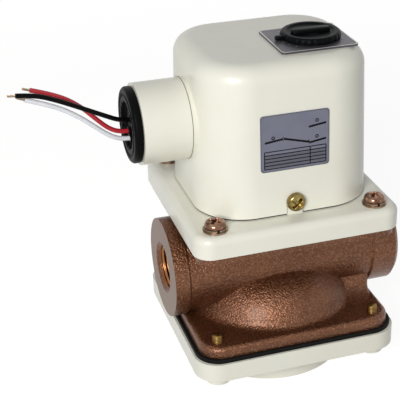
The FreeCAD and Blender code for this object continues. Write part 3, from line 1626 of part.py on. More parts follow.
def make_stem():
    """The paddle stem: round rod with a flat at its foot that the paddle is screwed to, and its nut."""
    low = AXIS_Z - S.paddle_screw_pitch * 0.7
    flat_top = AXIS_Z + S.paddle_above_axis + 1
    top = YOKE_TOP + S.stem_top_rise
    rod = cylinder("StemRod", S.stem_radius, low, top)
    reach = S.stem_radius + 1
    flat = box("StemFlat", (0, reach), (-reach, reach), (low - 1, flat_top))
    holes = paddle_screw_holes("StemHole")
    node(cut("PaddleStem", rod, flat, *holes), "paddle_stem")
    nut_top = top - S.stem_radius * 0.4
    nut = hexagon("StemNutBlank", S.stem_radius * 1.7, YOKE_TOP, nut_top)
    thread = cylinder("StemNutThread", S.stem_radius, YOKE_TOP - 1, nut_top + 1)
    node(cut("StemNut", nut, thread), "stem_nut")


def paddle_screw_heights():
    return [AXIS_Z + S.paddle_screw_pitch * 0.6, AXIS_Z - S.paddle_screw_pitch * 0.4]


def paddle_screw_holes(name):
    reach = S.stem_radius * 2
    heights = paddle_screw_heights()
    return [
        cylinder(f"{name}{index}", S.paddle_screw_radius, -reach, reach, 0, height, "X")
        for index, height in enumerate(heights)
    ]


def make_paddle():
    """The thin stainless paddle across the flow, and the two screws that hold it to the stem."""
    body = new_body("PaddleSheet")
    middle = AXIS_Z + (S.paddle_above_axis - S.paddle_below_axis) * 0.5
    sketch = sketch_on(body, "PaddleProfile", "YZ_Plane", up=middle)
    half_height = (S.paddle_above_axis + S.paddle_below_axis) * 0.5
    rounded_rectangle(sketch, S.paddle_half_width, half_height, S.paddle_half_width * 0.6)
    feature(body, "Pad", "PaddlePlate", sketch, Length=S.paddle_thickness)
    node(cut("Paddle", body, *paddle_screw_holes("PaddleHole")), "paddle")
    screws = []
    for index, height in enumerate(paddle_screw_heights()):
        shank = cylinder(
            f"PaddleShank{index}", S.paddle_screw_radius, -S.stem_radius, S.paddle_thickness, 0, height, "X"
        )
        face = S.paddle_thickness
        head = cylinder(
            f"PaddleHead{index}",
            S.paddle_screw_radius * 1.8,
            face,
            face + S.paddle_screw_radius,
            0,
            height,
            "X",
        )
        screws.append(fuse(f"PaddleScrew{index}", shank, head))
    node(group("PaddleScrews", *screws), "paddle_screws")


def make_bellows():
    """The metal bellows that seals the stem, its clamped ring, the gasket under the ring and the cap on top."""
    wall = S.bellows_wall
    inner, outer = S.bellows_inner, S.bellows_outer
    low = RING_LOW
    first = RING_TOP + S.fit_gap * 2
    last = CAP_LOW
    pitch = (last - first) / BELLOWS_FOLDS
    outside = [(inner + wall, low), (inner + wall, first)]
    inside = [(inner, low), (inner, first)]
    for fold in range(BELLOWS_FOLDS):
        base = first + pitch * fold
        outside += [(outer, base + pitch * 0.25), (outer, base + pitch * 0.6), (inner + wall, base + pitch * 0.85)]
        inside += [
            (outer - wall, base + pitch * 0.25 + wall * 0.5),
            (outer - wall, base + pitch * 0.6 - wall * 0.5),
            (inner, base + pitch * 0.85),
        ]
    outside.append((inner + wall, last))
    inside.append((inner, last))
    node(turned("Bellows", inside + outside[::-1]), "bellows")

    ring = cylinder("BellowsRingDisc", S.bellows_ring_radius, RING_LOW, RING_TOP)
    bore = cylinder("BellowsRingBore", inner + wall, RING_LOW - 1, RING_TOP + 1)
    node(cut("BellowsRing", ring, bore), "bellows_ring")

    gasket = cylinder("RingGasketDisc", S.bellows_ring_radius, SEAT_Z, RING_LOW)
    window = cylinder("RingGasketHole", S.stem_hole_radius, SEAT_Z - 1, RING_LOW + 1)
    node(cut("RingGasket", gasket, window), "ring_gasket")

    cap = cylinder("BellowsCapDisc", outer - S.sheet * 0.5, CAP_LOW, YOKE_LOW)
    hole = cylinder("BellowsCapHole", S.stem_radius, CAP_LOW - 1, YOKE_LOW + 1)
    node(cut("BellowsCap", cap, hole), "bellows_cap")


# Microswitch ----------------------------------------------------------------------------------------


def micro_screw_places():
    left, right = S.micro_hole_inset - S.micro_left, S.micro_length - S.micro_left - S.micro_hole_inset
    return [(left, MICRO_LOW + S.micro_hole_inset), (right, MICRO_TOP - S.micro_hole_inset)]


def make_microswitch():
    """The snap-action switch: case, sliding plunger, three tab terminals and two fixing screws."""
    depth = S.micro_half_depth
    left = -S.micro_left
    case = box("MicroCase", (left, left + S.micro_length), (-depth, depth), (MICRO_LOW, MICRO_TOP))
    bore = S.micro_screw_radius + S.screw_hole_clearance * 0.4
    holes = [
        cylinder(f"MicroHole{index}", bore, -depth - 1, depth + 1, x, z, "Y")
        for index, (x, z) in enumerate(micro_screw_places())
    ]
    half = S.plunger_half + S.lead_hole_clearance
    travel_top = MICRO_LOW + S.plunger_stand_out * 4
    guide = box(
        "PlungerGuide",
        (-S.contact_x - half, half - S.contact_x),
        (-half, half),
        (MICRO_LOW - 1, travel_top + S.fit_gap),
    )
    node(cut("MicroSwitch", case, *holes, guide), "microswitch")
    half = S.plunger_half
    plunger = box(
        "SwitchPlunger",
        (-S.contact_x - half, half - S.contact_x),
        (-half, half),
        (MICRO_LOW - S.plunger_stand_out, travel_top),
    )
    node(plunger, "switch_plunger")
    tabs = []
    middle = left + S.micro_length * 0.5
    for index in range(3):
        x = middle + S.tab_pitch * (index - 1)
        half_y = S.tab_thickness * 0.5
        tabs.append(
            box(
                f"Terminal{index}",
                (x - S.tab_half_width, x + S.tab_half_width),
                (-half_y, half_y),
                (MICRO_TOP, MICRO_TOP + S.tab_length),
            )
        )
    node(group("SwitchTerminals", *tabs), "switch_terminals")
    screws = []
    for index, (x, z) in enumerate(micro_screw_places()):
        head_front = -depth - S.micro_screw_radius * 1.3
        shank = cylinder(f"MicroShank{index}", S.micro_screw_radius, -depth, depth + S.sheet + 1, x, z, "Y")
        head = cylinder(f"MicroHead{index}", S.micro_screw_head_radius, head_front, -depth, x, z, "Y")
        screws.append(fuse(f"MicroScrew{index}", shank, head))
    node(group("MicroScrews", *screws), "microswitch_screws")


# Building, checking and writing ---------------------------------------------------------------------


def build():
    finish_flow_body(make_flow_body())
    make_bottom_cover()
    make_bottom_gasket()
    make_bottom_screws()
    make_switch_base()
    make_base_screws()
    make_cover_seal()
    _, cover_form = make_switch_cover()
    make_cover_screws()
    make_conduit_socket(cover_form)
    make_locknut()
    make_grommet()
    for colour, lead in LEADS.items():
        make_lead(f"lead_{colour}", outer_route(lead))
        make_lead(f"inner_lead_{colour}", inner_route(lead))
    make_label()
    make_dial_plate()
    make_knob()
    make_adjusting_screw()
    make_adjuster_bush()
    make_spindle_seal()
    make_spring_seat()
    make_range_spring()
    make_frame()
    make_frame_screws()
    make_pivot_pins()
    make_pin_clips()
    make_stop()
    make_lever_yoke()
    make_contact()
    make_stem()
    make_paddle()
    make_bellows()
    make_microswitch()
    DOCUMENT.recompute()


def check():
    """Stop on any object that failed to compute and any sub-part that is empty or not valid."""
    failed = [item.Name for item in DOCUMENT.Objects if {"Invalid", "Error"} & set(item.State)]
    if failed:
        raise RuntimeError("objects failed: " + ", ".join(failed))
    for item in NODES:
        if item.Shape.isNull() or not item.Shape.isValid() or not item.Shape.Solids:
            raise RuntimeError(f"{item.Label} has no valid solid")


def write():
    os.makedirs(NODE_FOLDER, exist_ok=True)
    for item in NODES:
        item.Shape.exportStep(os.path.join(NODE_FOLDER, item.Label + ".step"))
        print(item.Label, len(item.Shape.Solids), "solids", round(item.Shape.Volume, 1), "mm3")


build()
check()
write()
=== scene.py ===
"""Paddle flow switch: cast bronze body, cream enamelled switch housing, knob, label and three flying leads.

Lengths in this file are in millimetres and turn to metres through MM. +Z is up, the ports lie along X, the
label faces -Y and the leads leave towards -X.
"""
import logging
import math
from dataclasses import dataclass
from enum import Enum
from typing import Any, Callable, Dict, List, Optional, Sequence, Tuple

import bmesh
import bpy
import numpy as np
from mathutils import Matrix, Vector


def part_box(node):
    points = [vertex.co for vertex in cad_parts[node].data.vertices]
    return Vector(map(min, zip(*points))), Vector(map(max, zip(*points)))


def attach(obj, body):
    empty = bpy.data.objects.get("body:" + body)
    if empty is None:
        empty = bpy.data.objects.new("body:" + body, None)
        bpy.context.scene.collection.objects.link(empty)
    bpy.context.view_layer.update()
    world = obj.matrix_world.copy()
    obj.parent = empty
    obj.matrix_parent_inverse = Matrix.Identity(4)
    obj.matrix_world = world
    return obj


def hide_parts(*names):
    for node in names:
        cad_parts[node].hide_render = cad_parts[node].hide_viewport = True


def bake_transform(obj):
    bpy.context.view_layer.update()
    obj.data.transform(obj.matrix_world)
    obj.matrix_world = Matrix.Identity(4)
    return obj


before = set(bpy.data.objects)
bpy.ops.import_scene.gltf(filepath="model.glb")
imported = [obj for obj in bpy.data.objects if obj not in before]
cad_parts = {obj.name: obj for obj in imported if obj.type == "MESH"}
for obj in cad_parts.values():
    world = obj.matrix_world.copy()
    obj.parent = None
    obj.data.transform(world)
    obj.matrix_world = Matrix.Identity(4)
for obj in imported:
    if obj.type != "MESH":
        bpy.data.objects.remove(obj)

Array = np.ndarray
Point = Tuple[float, float, float]
Tree = bpy.types.NodeTree
Socket = bpy.types.NodeSocket

LOG = logging.getLogger("flow_switch")
MM = 0.001
FULL_TURN = 2 * math.pi
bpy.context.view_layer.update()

# Axes that several pieces share: the ports' height, the knob's X and Y, and the socket's Y and Z.
PORT_AXIS_Z = 45.5
KNOB_AXIS = (16.5, -5.5)
SOCKET_AXIS = (-1.4, 112.7)

# The Mix node's inputs and output, which share their names and differ by number.
MIX_SHARE = 0
MIX_VALUE_A, MIX_VALUE_B, MIX_VALUE_OUT = 2, 3, 0
MIX_COLOUR_A, MIX_COLOUR_B, MIX_COLOUR_OUT = 6, 7, 2


# Colour and nodes -----------------------------------------------------------------------------------


def tint(code: str) -> Tuple[float, float, float, float]:
    """Turn an sRGB hex colour into linear RGBA.

    Args:
        code: Six hex digits, as in "F2EEDD".

    Returns:
        Linear red, green and blue, and an alpha of 1.
    """
    parts = [int(code[i : i + 2], 16) / 255 for i in (0, 2, 4)]
    linear = [c / 12.92 if c <= 0.04045 else ((c + 0.055) / 1.055) ** 2.4 for c in parts]
    return (linear[0], linear[1], linear[2], 1.0)


def per_size(millimetres: float) -> float:
    """Return the pattern scale, in object coordinates in metres, whose cells are that many millimetres."""
    return 1 / (millimetres * MM)


def add_node(
    tree: Tree,
    kind: str,
    settings: Optional[Dict[Any, Any]] = None,
    links: Optional[Dict[Any, Socket]] = None,
) -> bpy.types.Node:
    """Add one shader node.

    Args:
        tree: The material's or world's node tree.
        kind: The node's type, without "ShaderNode".
        settings: Values by the name of an attribute, or of an input socket or its index.
        links: Output sockets by the name or index of the input that each one feeds.

    Returns:
        The new node.
    """
    made = tree.nodes.new("ShaderNode" + kind)
    for key, value in (settings or {}).items():
        if isinstance(key, str) and hasattr(made, key):
            setattr(made, key, value)
        else:
            made.inputs[key].default_value = value
    for key, socket in (links or {}).items():
        tree.links.new(socket, made.inputs[key])
    return made


class Pattern(Enum):
    """How a finish's surface was made."""

    ENAMEL = "sprayed and baked enamel"
    SAND_CAST = "sand cast, ports machined"
    TURNED = "turned or cold headed metal"
    ROLLED = "rolled sheet or drawn wire"
    MOULDED = "moulded plastic or rubber"
    PRINTED = "printed foil"


@dataclass(frozen=True)
class Finish:
    """One real surface: its base colours and how it takes the light.

    colour and second are the two ends of its slow colour variation, and patch_mm is the size of its patches.
    grain_mm and grain_depth_mm give the relief, gloss the roughness, and gloss_spread how far it wanders.
    """

    name: str
    pattern: Pattern
    colour: str
    second: str
    gloss: float
    metal: float = 0.0
    patch_mm: float = 6.0
    grain_mm: float = 0.8
    grain_depth_mm: float = 0.01
    gloss_spread: float = 0.06
    coat: float = 0.0
    ior: float = 1.5
    coat_gloss: float = 0.08

    def material(self) -> bpy.types.Material:
        """Return this finish's material, made once."""
        return bpy.data.materials.get(self.name) or self.build()

    def build(self) -> bpy.types.Material:
        """Build the material: patchy colour, wandering roughness and a fine relief on one shader.

        Returns:
            The new material.
        """
        made = bpy.data.materials.new(self.name)
        made.use_nodes = True
        tree = made.node_tree
        tree.nodes.clear()
        place = add_node(tree, "TexCoord").outputs["Object"]
        patches = add_node(
            tree,
            "TexNoise",
            {"Scale": per_size(self.patch_mm), "Detail": 3.0, "Roughness": 0.55},
            {"Vector": place},
        ).outputs["Fac"]
        share = add_node(
            tree, "MapRange", {"From Min": 0.3, "From Max": 0.7}, {"Value": patches}
        ).outputs["Result"]
        colour = add_node(
            tree,
            "Mix",
            {"data_type": "RGBA", MIX_COLOUR_A: tint(self.colour), MIX_COLOUR_B: tint(self.second)},
            {MIX_SHARE: share},
        ).outputs[MIX_COLOUR_OUT]
        gloss = add_node(
            tree,
            "MapRange",
            {"To Min": self.gloss - self.gloss_spread, "To Max": self.gloss + self.gloss_spread},
            {"Value": patches},
        ).outputs["Result"]
        colour, gloss, height = self.surface(tree, place, colour, gloss)
        normal = add_node(
            tree, "Bump", {"Strength": 1.0, "Distance": self.grain_depth_mm * MM}, {"Height": height}
        ).outputs["Normal"]
        shader = add_node(
            tree,
            "BsdfPrincipled",
            {
                "Metallic": self.metal,
                "IOR": self.ior,
                "Coat Weight": self.coat,
                "Coat Roughness": self.coat_gloss,
            },
            {"Base Color": colour, "Roughness": gloss, "Normal": normal},
        )
        add_node(tree, "OutputMaterial", None, {"Surface": shader.outputs[0]})
        return made

    def surface(
        self, tree: Tree, place: Socket, colour: Socket, gloss: Socket
    ) -> Tuple[Socket, Socket, Socket]:
        """Add this surface's own grain: fine noise, for every pattern but the cast one.

        Args:
            tree: The material's tree.
            place: Object coordinates.
            colour: The patchy colour.
            gloss: The wandering roughness.

        Returns:
            The colour and the roughness, and the height of the relief from 0 to 1.
        """
        grain = add_node(
            tree, "TexNoise", {"Scale": per_size(self.grain_mm), "Detail": 2.0}, {"Vector": place}
        ).outputs["Fac"]
        return colour, gloss, grain


@dataclass(frozen=True)
class CastFinish(Finish):
    """Sand-cast bronze: a pimpled skin with a painted highlight on its high spots and painted shade in its
    pits, and smooth turned metal past the port faces.

    inlet_x and outlet_x are the planes beyond which the surface is a machined port face. bore_radius is the
    radius about the ports' axis inside which it is machined too. ring_mm is the spacing of the turning rings:
    real feed marks are too fine to show.
    """

    coat_gloss: float = 0.3
    # high is a painted highlight laid on the pimples' tops, and painted_pit_shade is painted shade laid in the
    # pits.
    high: str = "D0A88E"
    painted_glint_share: float = 0.2
    painted_pit_shade: str = "3C1F11"
    painted_pit_shade_share: float = 0.25
    machined: str = "66442A"
    machined_gloss: float = 0.42
    inlet_x: float = -46.55
    outlet_x: float = 52.65
    bore_radius: float = 9.6
    ring_mm: float = 0.5
    ring_height: float = 0.06

    def surface(
        self, tree: Tree, place: Socket, colour: Socket, gloss: Socket
    ) -> Tuple[Socket, Socket, Socket]:
        """Add the sand's pimples, a painted highlight on their tops and painted shade in their pits, and the
        machined zones.

        Args:
            tree: The material's tree.
            place: Object coordinates.
            colour: The patchy colour.
            gloss: The wandering roughness.

        Returns:
            The colour and the roughness, and the height of the relief from 0 to 1.
        """
        skin = self.sand(tree, place)
        # Painted highlight: where the high colour covers the pimples' tops.
        painted_glint_mask = add_node(
            tree,
            "MapRange",
            {"From Min": 0.05, "From Max": 0.42, "To Max": self.painted_glint_share},
            {"Value": skin},
        ).outputs["Result"]
        # Painted shade: where the dark pit colour fills the pits.
        painted_pit_shade_mask = add_node(
            tree,
            "MapRange",
            {"From Min": 0.0, "From Max": -0.22, "To Max": self.painted_pit_shade_share},
            {"Value": skin},
        ).outputs["Result"]
        cut, rings = self.turned(tree, place)
        # Lay the painted highlight, the painted pit shade and the machined colour over the patchy colour.
        for code, share in ((self.high, painted_glint_mask), (self.painted_pit_shade, painted_pit_shade_mask), (self.machined, cut)):
            colour = add_node(
                tree,
                "Mix",
                {"data_type": "RGBA", MIX_COLOUR_B: tint(code)},
                {MIX_SHARE: share, MIX_COLOUR_A: colour},
            ).outputs[MIX_COLOUR_OUT]
        smooth = add_node(
            tree,
            "Mix",
            {"data_type": "FLOAT", MIX_VALUE_B: self.machined_gloss},
            {MIX_SHARE: cut, MIX_VALUE_A: gloss},
        ).outputs[MIX_VALUE_OUT]
        height = add_node(
            tree, "Mix", {"data_type": "FLOAT"}, {MIX_SHARE: cut, MIX_VALUE_A: skin, MIX_VALUE_B: rings}
        ).outputs[MIX_VALUE_OUT]
        return colour, smooth, height

    def sand(self, tree: Tree, place: Socket) -> Socket:
        """Make the casting's skin: uneven sand, lowered round soft lumps of the grain's size.

        Args:
            tree: The material's tree.
            place: Object coordinates.

        Returns:
            A height that is positive on the pimples and negative in the pits.
        """
        lumps = add_node(
            tree,
            "TexVoronoi",
            {"feature": "SMOOTH_F1", "Scale": per_size(self.grain_mm), "Smoothness": 0.7},
            {"Vector": place},
        ).outputs["Distance"]
        sand = add_node(
            tree,
            "TexNoise",
            {"Scale": per_size(self.grain_mm * 1.7), "Detail": 4.0, "Roughness": 0.6},
            {"Vector": place},
        ).outputs["Fac"]
        return add_node(tree, "Math", {"operation": "SUBTRACT"}, {0: sand, 1: lumps}).outputs[0]

    def turned(self, tree: Tree, place: Socket) -> Tuple[Socket, Socket]:
        """Find the machined faces and bores, and draw rings about the ports' axis.

        Args:
            tree: The material's tree.
            place: Object coordinates.

        Returns:
            1 on the port faces and inside the bores and 0 on the cast skin, and the rings' height.
        """
        split = add_node(tree, "SeparateXYZ", None, {0: place})
        up = add_node(
            tree, "Math", {"operation": "SUBTRACT", 1: PORT_AXIS_Z * MM}, {0: split.outputs["Z"]}
        ).outputs[0]
        flat = add_node(tree, "CombineXYZ", None, {"X": split.outputs["Y"], "Y": up}).outputs[0]
        reach = add_node(tree, "VectorMath", {"operation": "LENGTH"}, {0: flat}).outputs["Value"]
        zones = (
            ("LESS_THAN", self.inlet_x, split.outputs["X"]),
            ("GREATER_THAN", self.outlet_x, split.outputs["X"]),
            ("LESS_THAN", self.bore_radius, reach),
        )
        inlet, outlet, bore = (
            add_node(tree, "Math", {"operation": test, 1: limit * MM}, {0: value}).outputs[0]
            for test, limit, value in zones
        )
        faces = add_node(tree, "Math", {"operation": "MAXIMUM"}, {0: inlet, 1: outlet}).outputs[0]
        cut = add_node(tree, "Math", {"operation": "MAXIMUM"}, {0: faces, 1: bore}).outputs[0]
        wave = add_node(
            tree, "Math", {"operation": "MULTIPLY", 1: FULL_TURN * per_size(self.ring_mm)}, {0: reach}
        ).outputs[0]
        ripple = add_node(tree, "Math", {"operation": "SINE"}, {0: wave}).outputs[0]
        rings = add_node(tree, "Math", {"operation": "MULTIPLY", 1: self.ring_height}, {0: ripple})
        return cut, rings.outputs[0]


# Sprayed enamel over a casting: soft gloss with a faint orange peel.
ENAMEL = Finish(
    "Cream_Baked_Enamel", Pattern.ENAMEL, "EFEEE1", "EBE9DA", gloss=0.33,
    patch_mm=30.0, grain_mm=1.6, grain_depth_mm=0.012, gloss_spread=0.04, coat=0.25,
)
# Bronze cast in sand and bead blasted: brown, pimpled, with a soft broken highlight. Its ports are turned.
# Its pimples' tops carry a painted highlight and its pits painted shade.
BRONZE = CastFinish(
    "Sand_Cast_Bronze", Pattern.SAND_CAST, "72462A", "623A21", gloss=0.36, metal=0.7,
    patch_mm=16.0, grain_mm=0.75, grain_depth_mm=0.24, gloss_spread=0.04, coat=0.25,
)
# Cold-headed steel with a coppery passivated plating: small sharp highlights over brown.
COPPERY = Finish(
    "Coppery_Passivated_Steel", Pattern.TURNED, "AC8974", "60402F", gloss=0.14, metal=1.0,
    patch_mm=2.5, grain_mm=0.5, grain_depth_mm=0.01, gloss_spread=0.05,
)
# Yellow zinc plating: a greenish gold that wanders from spot to spot.
YELLOW_ZINC = Finish(
    "Yellow_Zinc_Plated_Steel", Pattern.TURNED, "A69360", "6F5D2E", gloss=0.16, metal=1.0,
    patch_mm=1.6, grain_mm=0.5, grain_depth_mm=0.01, gloss_spread=0.08,
)
# Turned brass, left bright: an even yellow.
BRASS = Finish(
    "Turned_Brass", Pattern.TURNED, "B5935A", "A07F48", gloss=0.28, metal=1.0,
    patch_mm=3.0, grain_mm=0.5, grain_depth_mm=0.008,
)
# Brass that has dulled in damp air: darker, patchy and softer in its shine.
DARK_BRASS = Finish(
    "Tarnished_Brass", Pattern.TURNED, "8C7040", "6E5530", gloss=0.36, metal=1.0,
    patch_mm=2.0, grain_mm=0.6, grain_depth_mm=0.01,
)
# Zinc-plated sheet: pale grey with a soft bloom.
ZINC = Finish(
    "Zinc_Plated_Sheet_Steel", Pattern.ROLLED, "B7B9B8", "A4A6A6", gloss=0.32, metal=1.0,
    patch_mm=8.0, grain_mm=0.7, grain_depth_mm=0.006,
)
# Plated spring steel: a duller, browner grey than the screws that it sits under.
WASHER = Finish(
    "Plated_Spring_Steel", Pattern.ROLLED, "A38F7C", "86715F", gloss=0.32, metal=1.0,
    patch_mm=2.5, grain_mm=0.6, grain_depth_mm=0.01,
)
# Rolled or drawn stainless steel: even, cool and fairly bright.
STAINLESS = Finish(
    "Rolled_Stainless_Steel", Pattern.ROLLED, "BDBEBC", "ACADAB", gloss=0.26, metal=1.0,
    patch_mm=9.0, grain_mm=0.4, grain_depth_mm=0.004,
)
# Thin phosphor bronze formed into bellows: smooth and warm.
BELLOWS_BRONZE = Finish(
    "Formed_Phosphor_Bronze", Pattern.ROLLED, "B98F66", "A67C57", gloss=0.25, metal=1.0,
    patch_mm=5.0, grain_mm=0.6, grain_depth_mm=0.006,
)
# Moulded black rubber: a dull skin that mirrors little.
RUBBER = Finish(
    "Black_Moulded_Rubber", Pattern.MOULDED, "060707", "0A0A0B", gloss=0.42,
    patch_mm=5.0, grain_mm=0.7, grain_depth_mm=0.015, ior=1.13,
)
# Cut sheet rubber: flat black with a fine tooth on its edge.
GASKET = Finish(
    "Black_Sheet_Rubber", Pattern.ROLLED, "0D0D0D", "161514", gloss=0.62,
    patch_mm=4.0, grain_mm=0.5, grain_depth_mm=0.03, ior=1.2,
)
# Moulded black nylon: a satin face with soft highlights on the flutes.
KNOB_PLASTIC = Finish(
    "Black_Moulded_Nylon", Pattern.MOULDED, "040607", "07090A", gloss=0.36,
    patch_mm=6.0, grain_mm=0.6, grain_depth_mm=0.012, gloss_spread=0.05, ior=1.14,
)
# The microswitch's case: hard brown moulding with a low shine.
PHENOLIC = Finish(
    "Brown_Phenolic", Pattern.MOULDED, "2A1D17", "33241C", gloss=0.35,
    patch_mm=5.0, grain_mm=0.6, grain_depth_mm=0.01,
)
# The microswitch's plunger: bright red moulding.
RED_PLASTIC = Finish("Red_Moulded_Plastic", Pattern.MOULDED, "B02A26", "A02420", gloss=0.35)
# Extruded PVC on the three leads: smooth, with one long highlight down each.
PVC_BLACK = Finish(
    "Black_PVC_Insulation", Pattern.MOULDED, "050505", "090909", gloss=0.3,
    patch_mm=4.0, grain_mm=0.6, grain_depth_mm=0.006, ior=1.16,
)
PVC_RED = Finish(
    "Red_PVC_Insulation", Pattern.MOULDED, "C02A36", "B0222E", gloss=0.32,
    patch_mm=4.0, grain_mm=0.6, grain_depth_mm=0.006,
)
PVC_WHITE = Finish(
    "White_PVC_Insulation", Pattern.MOULDED, "E9EAEE", "DFE1E6", gloss=0.34,
    patch_mm=4.0, grain_mm=0.6, grain_depth_mm=0.006,
)
# Tinned copper strands: thin wires, part silver and part copper.
COPPER = Finish(
    "Tinned_Copper_Strand", Pattern.ROLLED, "B9A48C", "A68E74", gloss=0.3, metal=1.0,
    patch_mm=1.0, grain_mm=0.3, grain_depth_mm=0.004,
)
# Printed aluminium foil: bluish grey with a faint metal sheen.
FOIL = Finish(
    "Grey_Printed_Aluminium_Foil", Pattern.PRINTED, "757684", "6F7082", gloss=0.42, metal=0.25,
    patch_mm=7.0, grain_mm=0.5, grain_depth_mm=0.006,
)
# Screen inks on the foil and the dial: flat dark lines, flat pale strokes and a grey tint behind rows.
INK = Finish("Dark_Screen_Ink", Pattern.PRINTED, "08080B", "0C0C10", gloss=0.5, ior=1.2)
PALE_INK = Finish("Pale_Screen_Ink", Pattern.PRINTED, "B5B6C0", "ABACB8", gloss=0.5)
SHADE = Finish("Grey_Screen_Tint", Pattern.PRINTED, "5E5E69", "595A66", gloss=0.45, metal=0.1)
# The dial plate: anodised to a dark grey, satin.
DIAL = Finish(
    "Dark_Anodised_Aluminium", Pattern.ROLLED, "5C5A5F", "525056", gloss=0.38, metal=0.7,
    patch_mm=8.0, grain_mm=0.5, grain_depth_mm=0.01,
)
# Painted highlight: a bright line along the dial plate's edge, where its edge catches the light.
DIAL_RIM_HIGHLIGHT = Finish(
    "Painted_Highlight_Dial_Rim", Pattern.ROLLED, "C3C0BC", "B4B1AE", gloss=0.3, metal=0.9,
    patch_mm=8.0, grain_mm=0.5, grain_depth_mm=0.004,
)
# Threads cut in the bronze: fresh metal, yellower and brighter than the skin.
THREAD = Finish(
    "Cut_Bronze_Thread", Pattern.TURNED, "A8744C", "8E5E3C", gloss=0.3, metal=1.0,
    patch_mm=3.0, grain_mm=0.5, grain_depth_mm=0.01,
)
# Painted shade in the joint between two castings: a thin grey-green line that takes no shine.
SEAM_SHADE = Finish(
    "Shadowed_Paint_Seam", Pattern.ENAMEL, "6B6A5C", "5C5B4E", gloss=0.6,
    patch_mm=4.0, grain_mm=0.5, grain_depth_mm=0.01,
)

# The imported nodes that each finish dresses.
FINISH_NODES: Tuple[Tuple[Finish, Tuple[str, ...]], ...] = (
    (BRONZE, ("flow_body",)),
    (ENAMEL, ("bottom_cover", "switch_base", "switch_cover", "conduit_socket")),
    (GASKET, ("bottom_gasket", "cover_seal", "ring_gasket")),
    (RUBBER, ("lead_grommet", "spindle_seal")),
    (DARK_BRASS, ("bottom_cover_screws",)),
    (COPPERY, ("base_screws",)),
    (WASHER, ("flat_washers", "spring_washers")),
    (YELLOW_ZINC, ("cover_screws",)),
    (ZINC, ("socket_locknut", "switch_frame", "frame_screws", "stop_screw", "stop_nut", "lever_yoke")),
    (ZINC, ("microswitch_screws",)),
    (PVC_BLACK, ("lead_black", "inner_lead_black")),
    (PVC_RED, ("lead_red", "inner_lead_red")),
    (PVC_WHITE, ("lead_white", "inner_lead_white")),
    (FOIL, ("circuit_label",)),
    (DIAL, ("dial_plate",)),
    (KNOB_PLASTIC, ("setting_knob",)),
    (BRASS, ("adjusting_screw", "adjuster_bush", "spring_seat", "contact_screw", "contact_nut")),
    (BRASS, ("bellows_ring", "bellows_cap", "switch_terminals")),
    (STAINLESS, ("range_spring", "pivot_pins", "pin_clips", "paddle_stem", "stem_nut")),
    (STAINLESS, ("paddle", "paddle_screws")),
    (BELLOWS_BRONZE, ("bellows",)),
    (PHENOLIC, ("microswitch",)),
    (RED_PLASTIC, ("switch_plunger",)),
)


# Surfaces -------------------------------------------------------------------------------------------

RIGHT = np.array([1.0, 0.0, 0.0])


def box_mm(node: str) -> Tuple[Array, Array]:
    """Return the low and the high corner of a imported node's box, in millimetres."""
    low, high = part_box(node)
    return np.array(low) / MM, np.array(high) / MM


def round_angles(count: int, both_ends: bool = False) -> Array:
    """Return that many angles round a full turn, with its end left out unless both ends are wanted."""
    return np.linspace(0, FULL_TURN, count, endpoint=both_ends)


def grid_faces(rows: int, columns: int, ring_rows: bool, ring_columns: bool) -> Array:
    """Number the quads of a grid of points.

    Args:
        rows: Points along the first parameter.
        columns: Points along the second.
        ring_rows: Whether the last row joins the first.
        ring_columns: Whether the last column joins the first.

    Returns:
        An (n, 4) array of point numbers.
    """
    i = np.arange(rows if ring_rows else rows - 1)[:, None]
    j = np.arange(columns if ring_columns else columns - 1)[None, :]
    following_i, following_j = (i + 1) % rows, (j + 1) % columns
    corners = (
        i * columns + j,
        i * columns + following_j,
        following_i * columns + following_j,
        following_i * columns + j,
    )
    return np.stack(np.broadcast_arrays(*corners), axis=-1).reshape(-1, 4)


def surface(
    name: str,
    grids: Sequence[Array],
    ring_rows: bool = False,
    ring_columns: bool = False,
    finish: Optional[Finish] = None,
) -> bpy.types.Object:
    """Mesh grids of points, in millimetres, as one object with closed poles and outward faces.

    Args:
        name: The object's name.
        grids: Arrays of shape (rows, columns, 3).
        ring_rows: Whether each grid closes along its first parameter.
        ring_columns: Whether each grid closes along its second.
        finish: What it is made of.

    Returns:
        The new object, at the origin.
    """
    points, faces, offset = [], [], 0
    for grid in grids:
        rows, columns = grid.shape[:2]
        points.append(grid.reshape(-1, 3) * MM)
        faces.append(grid_faces(rows, columns, ring_rows, ring_columns) + offset)
        offset += rows * columns
    mesh = bpy.data.meshes.new(name)
    mesh.from_pydata(np.concatenate(points).tolist(), [], np.concatenate(faces).tolist())
    shape = bmesh.new()
    shape.from_mesh(mesh)
    bmesh.ops.remove_doubles(shape, verts=shape.verts, dist=1e-6)
    bmesh.ops.dissolve_degenerate(shape, edges=shape.edges, dist=1e-7)
    bmesh.ops.recalc_face_normals(shape, faces=shape.faces)
    shape.to_mesh(mesh)
    shape.free()
    made = bpy.data.objects.new(name, mesh)
    bpy.context.scene.collection.objects.link(made)
    mesh.shade_smooth()
    if finish:
        mesh.materials.append(finish.material())
    return made


def revolve(
    profile: Array, turns: int, ripple: Optional[Callable[[Array, Array, Array], Array]] = None
) -> Array:
    """Turn a profile about Z: x = r cos a, y = r sin a, z as given, with r changed by ripple(r, z, a).

    Args:
        profile: (n, 2) radius and height.
        turns: Points round the circle.
        ripple: Gives the new radius from radius, height and angle.

    Returns:
        A grid of shape (n, turns, 3), closed along its columns.
    """
    angle = round_angles(turns)[None, :]
    radius, height = profile[:, :1], profile[:, 1:]
    reach = ripple(radius, height, angle) if ripple else radius + 0 * angle
    return np.stack([reach * np.cos(angle), reach * np.sin(angle), height + 0 * angle], axis=-1)


